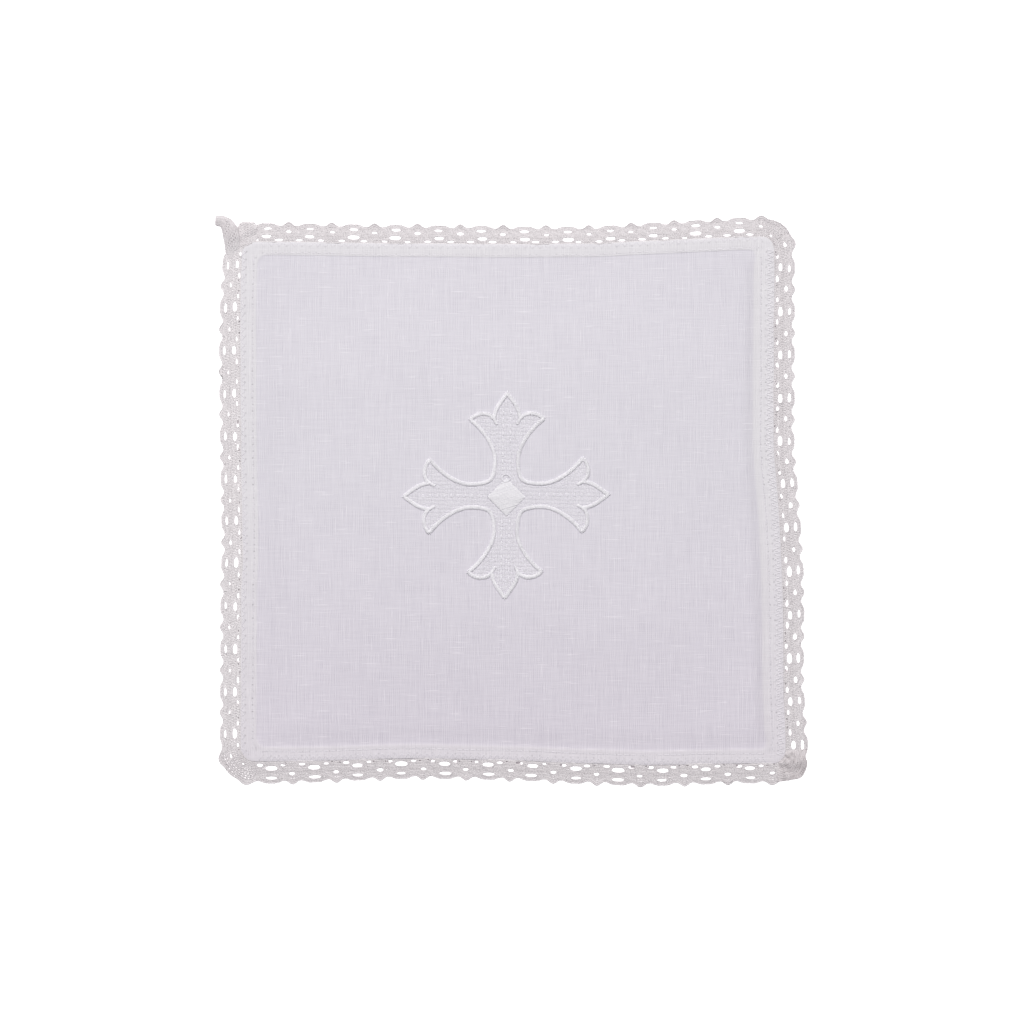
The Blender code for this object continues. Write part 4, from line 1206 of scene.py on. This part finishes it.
def woven_threads():
    """Plain weave: two crossing sets of round threads, each thread of its own thickness and tone."""
    group, nodes, given, result = new_group(
        "woven threads", {"Pitch": 0.6, "Unevenness": 1.0, "Slubs": 1.0}, ("Height", "Shade", "Slub"))
    place = nodes.scaled(nodes.place(), PER_MM)
    parts = nodes.add("SeparateXYZ", i0=place)
    wander = nodes.noise(place, scale=WEAVE["wander_scale"], detail=1.0)
    rounds, tones, slubs = [], [], []
    for row in table_rows(WEAVE_SETS):
        def run(fine, long):
            """Coordinates drawn out along this set of threads."""
            return nodes.scaled(place, (fine, long, 0.0) if row["axis"] == 0 else (long, fine, 0.0))

        drift = nodes.noise(run(*WEAVE["drift_scale"]), detail=1.0)
        shift = nodes.times(drift, WEAVE["drift"], nodes.times(wander, WEAVE["wander"]))
        across = nodes.plus(parts.outputs[row["axis"]], shift)
        turn = nodes.times(nodes.math("DIVIDE", across, given.outputs["Pitch"]), 2.0 * math.pi)
        patch = nodes.ramp(nodes.noise(run(*WEAVE["patch_scale"]), detail=1.0), *WEAVE["patch"])
        rounds.append(nodes.times(nodes.math("COSINE", turn), patch))
        tone = nodes.noise(run(row["across"], row["along"]), roughness=WEAVE["roughness"])
        tone = nodes.times(nodes.less(tone, 0.5), row["weight"])
        tones.append(nodes.times(tone, given.outputs["Unevenness"]))
        slub = nodes.noise(run(*WEAVE["slub_scale"]), detail=0.0)
        slub = nodes.ramp(slub, row["rare"], row["rare"] + WEAVE["slub_soft"])
        slubs.append(nodes.times(slub, given.outputs["Slubs"]))
    upper = nodes.times(rounds[0], WEAVE["warp"], nodes.times(rounds[1], WEAVE["weft"]))
    tone, slub = nodes.plus(*tones), nodes.math("MAXIMUM", *slubs)
    height = nodes.times(tone, WEAVE["tone_height"], upper)
    height = nodes.times(slub, WEAVE["slub_height"], height)
    shade = nodes.times(upper, WEAVE["upper_shade"], nodes.times(tone, WEAVE["tone_shade"]))
    shade = nodes.times(rounds[0], WEAVE["warp_shade"], shade)
    for label, value in (("Height", height), ("Shade", shade), ("Slub", slub)):
        nodes.feed(result, label, value)
    return group


def painted_needle_hole_shade():
    """A row of small dark dots, painted as the shade in the holes left by the needle, one for each
    stitch, some darker than others.
    """
    group, nodes, given, result = new_group(
        "painted needle hole shade", {"Along": 0.0, "Off": 0.0, "Spacing": 2.0, "Size": 0.3}, ("Hole",))
    turn = nodes.math("DIVIDE", given.outputs["Along"], given.outputs["Spacing"])
    along = nodes.less(nodes.math("FRACT", turn), 0.5)
    along = nodes.times(along, given.outputs["Spacing"])
    number = nodes.math("FLOOR", turn)
    chance = nodes.add("TexWhiteNoise", {"noise_dimensions": "1D"}, W=number).outputs["Value"]
    off = nodes.times(nodes.less(chance, 0.5), HOLES["stray"], given.outputs["Off"])
    reach = nodes.math("SQRT", nodes.times(along, along, nodes.times(off, off)))
    share = nodes.less(1.0, nodes.math("DIVIDE", reach, given.outputs["Size"]))
    depth = nodes.times(chance, HOLES["deeper"], HOLES["least"])
    nodes.feed(result, "Hole", nodes.times(nodes.math("MAXIMUM", share, 0.0), depth))
    return group


def spun_thread():
    """One spun thread: its ply's turns, its own tone and soft patches along it."""
    group, nodes, given, result = new_group(
        "spun thread", {"Turns": 1.6, "Tone spread": 1.0}, ("Height", "Shade"))
    turn = nodes.times(nodes.mark("thread_along"), given.outputs["Turns"])
    ply = nodes.math("SINE", nodes.times(turn, 2.0 * math.pi))
    patch = nodes.noise(nodes.scaled(nodes.place(), PER_MM), scale=SPUN["patch_scale"])
    tint = nodes.less(nodes.mark("thread_tint"), 0.5)
    shade = nodes.times(nodes.less(patch, 0.5), SPUN["patch"], tint)
    shade = nodes.times(shade, given.outputs["Tone spread"])
    nodes.feed(result, "Height", ply)
    nodes.feed(result, "Shade", nodes.times(ply, SPUN["ply"], shade))
    return group


def new_material(name, roughness):
    material = bpy.data.materials.new(name)
    material.use_nodes = True
    shader = material.node_tree.nodes["Principled BSDF"]
    shader.inputs["Roughness"].default_value = roughness
    shader.inputs["Specular IOR Level"].default_value = 0.25
    return material, Nodes(material.node_tree), shader


def tinted(nodes, shade, darkest, lightest, clamp=True):
    """A colour between two tones by a shade of about -0.5 to 0.5."""
    return nodes.mixed(nodes.plus(shade, 0.5), (*darkest, 1.0), (*lightest, 1.0), clamp)


def linen_material(groups):
    """Bleached linen with its weave, the painted shade of its stitches' holes and painted shade on the
    cloth beside its hem.
    """
    material, nodes, shader = new_material("bleached linen", LINEN["roughness"])
    weave = nodes.add("Group", {"node_tree": groups["woven threads"]}, Pitch=WEAVE["pitch"])
    place = nodes.place()
    lower = nodes.ramp(nodes.add("SeparateXYZ", i0=place).outputs[1], LOWER["from"], LOWER["to"])
    shade = nodes.times(weave.outputs["Shade"], nodes.times(lower, *LOWER["threads"]))
    cloudy = nodes.noise(place, scale=LINEN["cloud_scale"], detail=3.0)
    shade = nodes.times(nodes.less(cloudy, 0.5), LINEN["cloud"], shade)
    shade = nodes.times(weave.outputs["Slub"], nodes.times(lower, *LOWER["slubs"]), shade)
    # painted shade of the holes left by the needle
    holes = []
    for row in table_rows(HOLE_ROWS):
        made = nodes.add("Group", {"node_tree": groups["painted needle hole shade"]}, Along=nodes.mark("hem_along"),
                         Off=nodes.mark(row["off"]), Spacing=row["spacing"], Size=row["size"])
        holes.append(made.outputs["Hole"])
    hole = nodes.times(nodes.math("MAXIMUM", *holes), nodes.mark("hole_depth"))
    shade = nodes.less(shade, nodes.times(hole, HOLES["shade"]))
    panel = tinted(nodes, shade, *LINEN_TONES["panel"], clamp=False)
    hem = tinted(nodes, nodes.times(shade, HEM_SHADE), *LINEN_TONES["hem"])
    colour = nodes.mixed(nodes.mark("hem_layers"), panel, hem)
    # painted shade: the dots of the stitches' holes and the band beside the hem darken the colour
    light = nodes.less(nodes.less(1.0, nodes.times(hole, HOLES["dark"])), nodes.mark("painted_seam_shade"))
    colour = nodes.add("VectorMath", {"operation": "SCALE"}, i0=colour, Scale=light).outputs[0]
    # a little darker and less green towards the lower edge
    lower_tint = nodes.mixed(lower, (1.0, 1.0, 1.0, 1.0), (*LOWER["tone"], 1.0))
    nodes.feed(shader, "Base Color", nodes.scaled(colour, lower_tint))
    bump = nodes.add("Bump", Strength=LINEN["bump"], Distance=LINEN["bump_height"],
                     Height=weave.outputs["Height"])
    nodes.feed(shader, "Normal", bump.outputs[0])
    return material


def thread_material(groups, finish):
    """One of the pall's threads, from its row in the table of finishes."""
    material, nodes, shader = new_material(finish["name"], finish["roughness"])
    spun = nodes.add("Group", {"node_tree": groups["spun thread"]},
                     Turns=finish["turns"], Tone_spread=finish["spread"])
    colour = tinted(nodes, spun.outputs["Shade"], finish["darkest"], finish["lightest"])
    nodes.feed(shader, "Base Color", colour)
    bump = nodes.add("Bump", Strength=SPUN["bump"], Distance=SPUN["bump_height"],
                     Height=spun.outputs["Height"])
    nodes.feed(shader, "Normal", bump.outputs[0])
    return material


def white_floor():
    """A plain white floor that glows a little, so it stays as pale as the photograph's."""
    half = FLOOR["half"]
    mesh = bpy.data.meshes.new("floor")
    corners = [(-half, -half, 0), (half, -half, 0), (half, half, 0), (-half, half, 0)]
    mesh.from_pydata(corners, [], [(0, 1, 2, 3)])
    floor = new_object("floor", mesh)
    floor.location.z = -FLOOR["under"]
    white, _, shader = new_material("white floor", FLOOR["roughness"])
    shader.inputs["Base Color"].default_value = (*[FLOOR["colour"]] * 3, 1.0)
    shader.inputs["Emission Color"].default_value = (1.0, 1.0, 1.0, 1.0)
    shader.inputs["Emission Strength"].default_value = FLOOR["glow"]
    mesh.materials.append(white)


def studio():
    """The floor, one soft light from beyond the top edge, a pale fill and the camera."""
    white_floor()
    lamp = bpy.data.lights.new("window light", "AREA")
    lamp.shape = "RECTANGLE"
    lamp.size, lamp.size_y = LAMP["size"]
    lamp.energy = LAMP["energy"]
    lamp.color = LAMP["colour"]
    light = new_object("window_light", lamp)
    light.location = LAMP["place"]
    aim = -np.array(light.location)
    tilt = math.atan2(math.hypot(aim[0], aim[1]), -aim[2])
    light.rotation_euler = (tilt, 0.0, math.atan2(aim[0], -aim[1]) + math.pi)
    world = bpy.data.worlds.new("pale room")
    world.use_nodes = True
    room = world.node_tree.nodes["Background"]
    room.inputs["Color"].default_value = ROOM["colour"]
    room.inputs["Strength"].default_value = ROOM["strength"]
    bpy.context.scene.world = world
    camera = bpy.data.cameras.new("camera")
    camera.lens, camera.sensor_width = LENS, SENSOR
    camera.clip_start, camera.clip_end = 0.01, 20.0
    eye = new_object("camera", camera)
    centre = on_pall(*VIEW_CENTRE) * MM
    eye.location = (centre[0], centre[1], PHOTO_PIXELS * MM_PER_PIXEL * MM * LENS / SENSOR)
    bpy.context.scene.camera = eye
    bpy.context.scene.view_settings.view_transform = "Standard"


def main():
    groups = {group.name: group for group in (woven_threads(), spun_thread(), painted_needle_hole_shade())}
    threads = {row["name"]: thread_material(groups, row) for row in table_rows(THREAD_FINISHES)}
    cotton, silk = threads["lace cotton"], threads["satin stitch cotton"]
    rim = Rim()
    edging = Edging(rim)
    cloth = linen_cloth(rim, linen_material(groups))
    pieces = hem_stitches(rim, threads["sewing cotton"])
    pieces += [lace_side(edging, number, cotton) for number in range(4)]
    pieces += [lace_loose_end(cotton), lace_bunch(cotton)]
    pieces += [lace_fold(edging, threads["lace cotton in the folds"])]
    pieces += [cross_cord(rim, silk), cross_ground(rim, threads["filling stitch cotton"])]
    pieces += [cross_lozenge(rim, silk)]
    studio()


main()
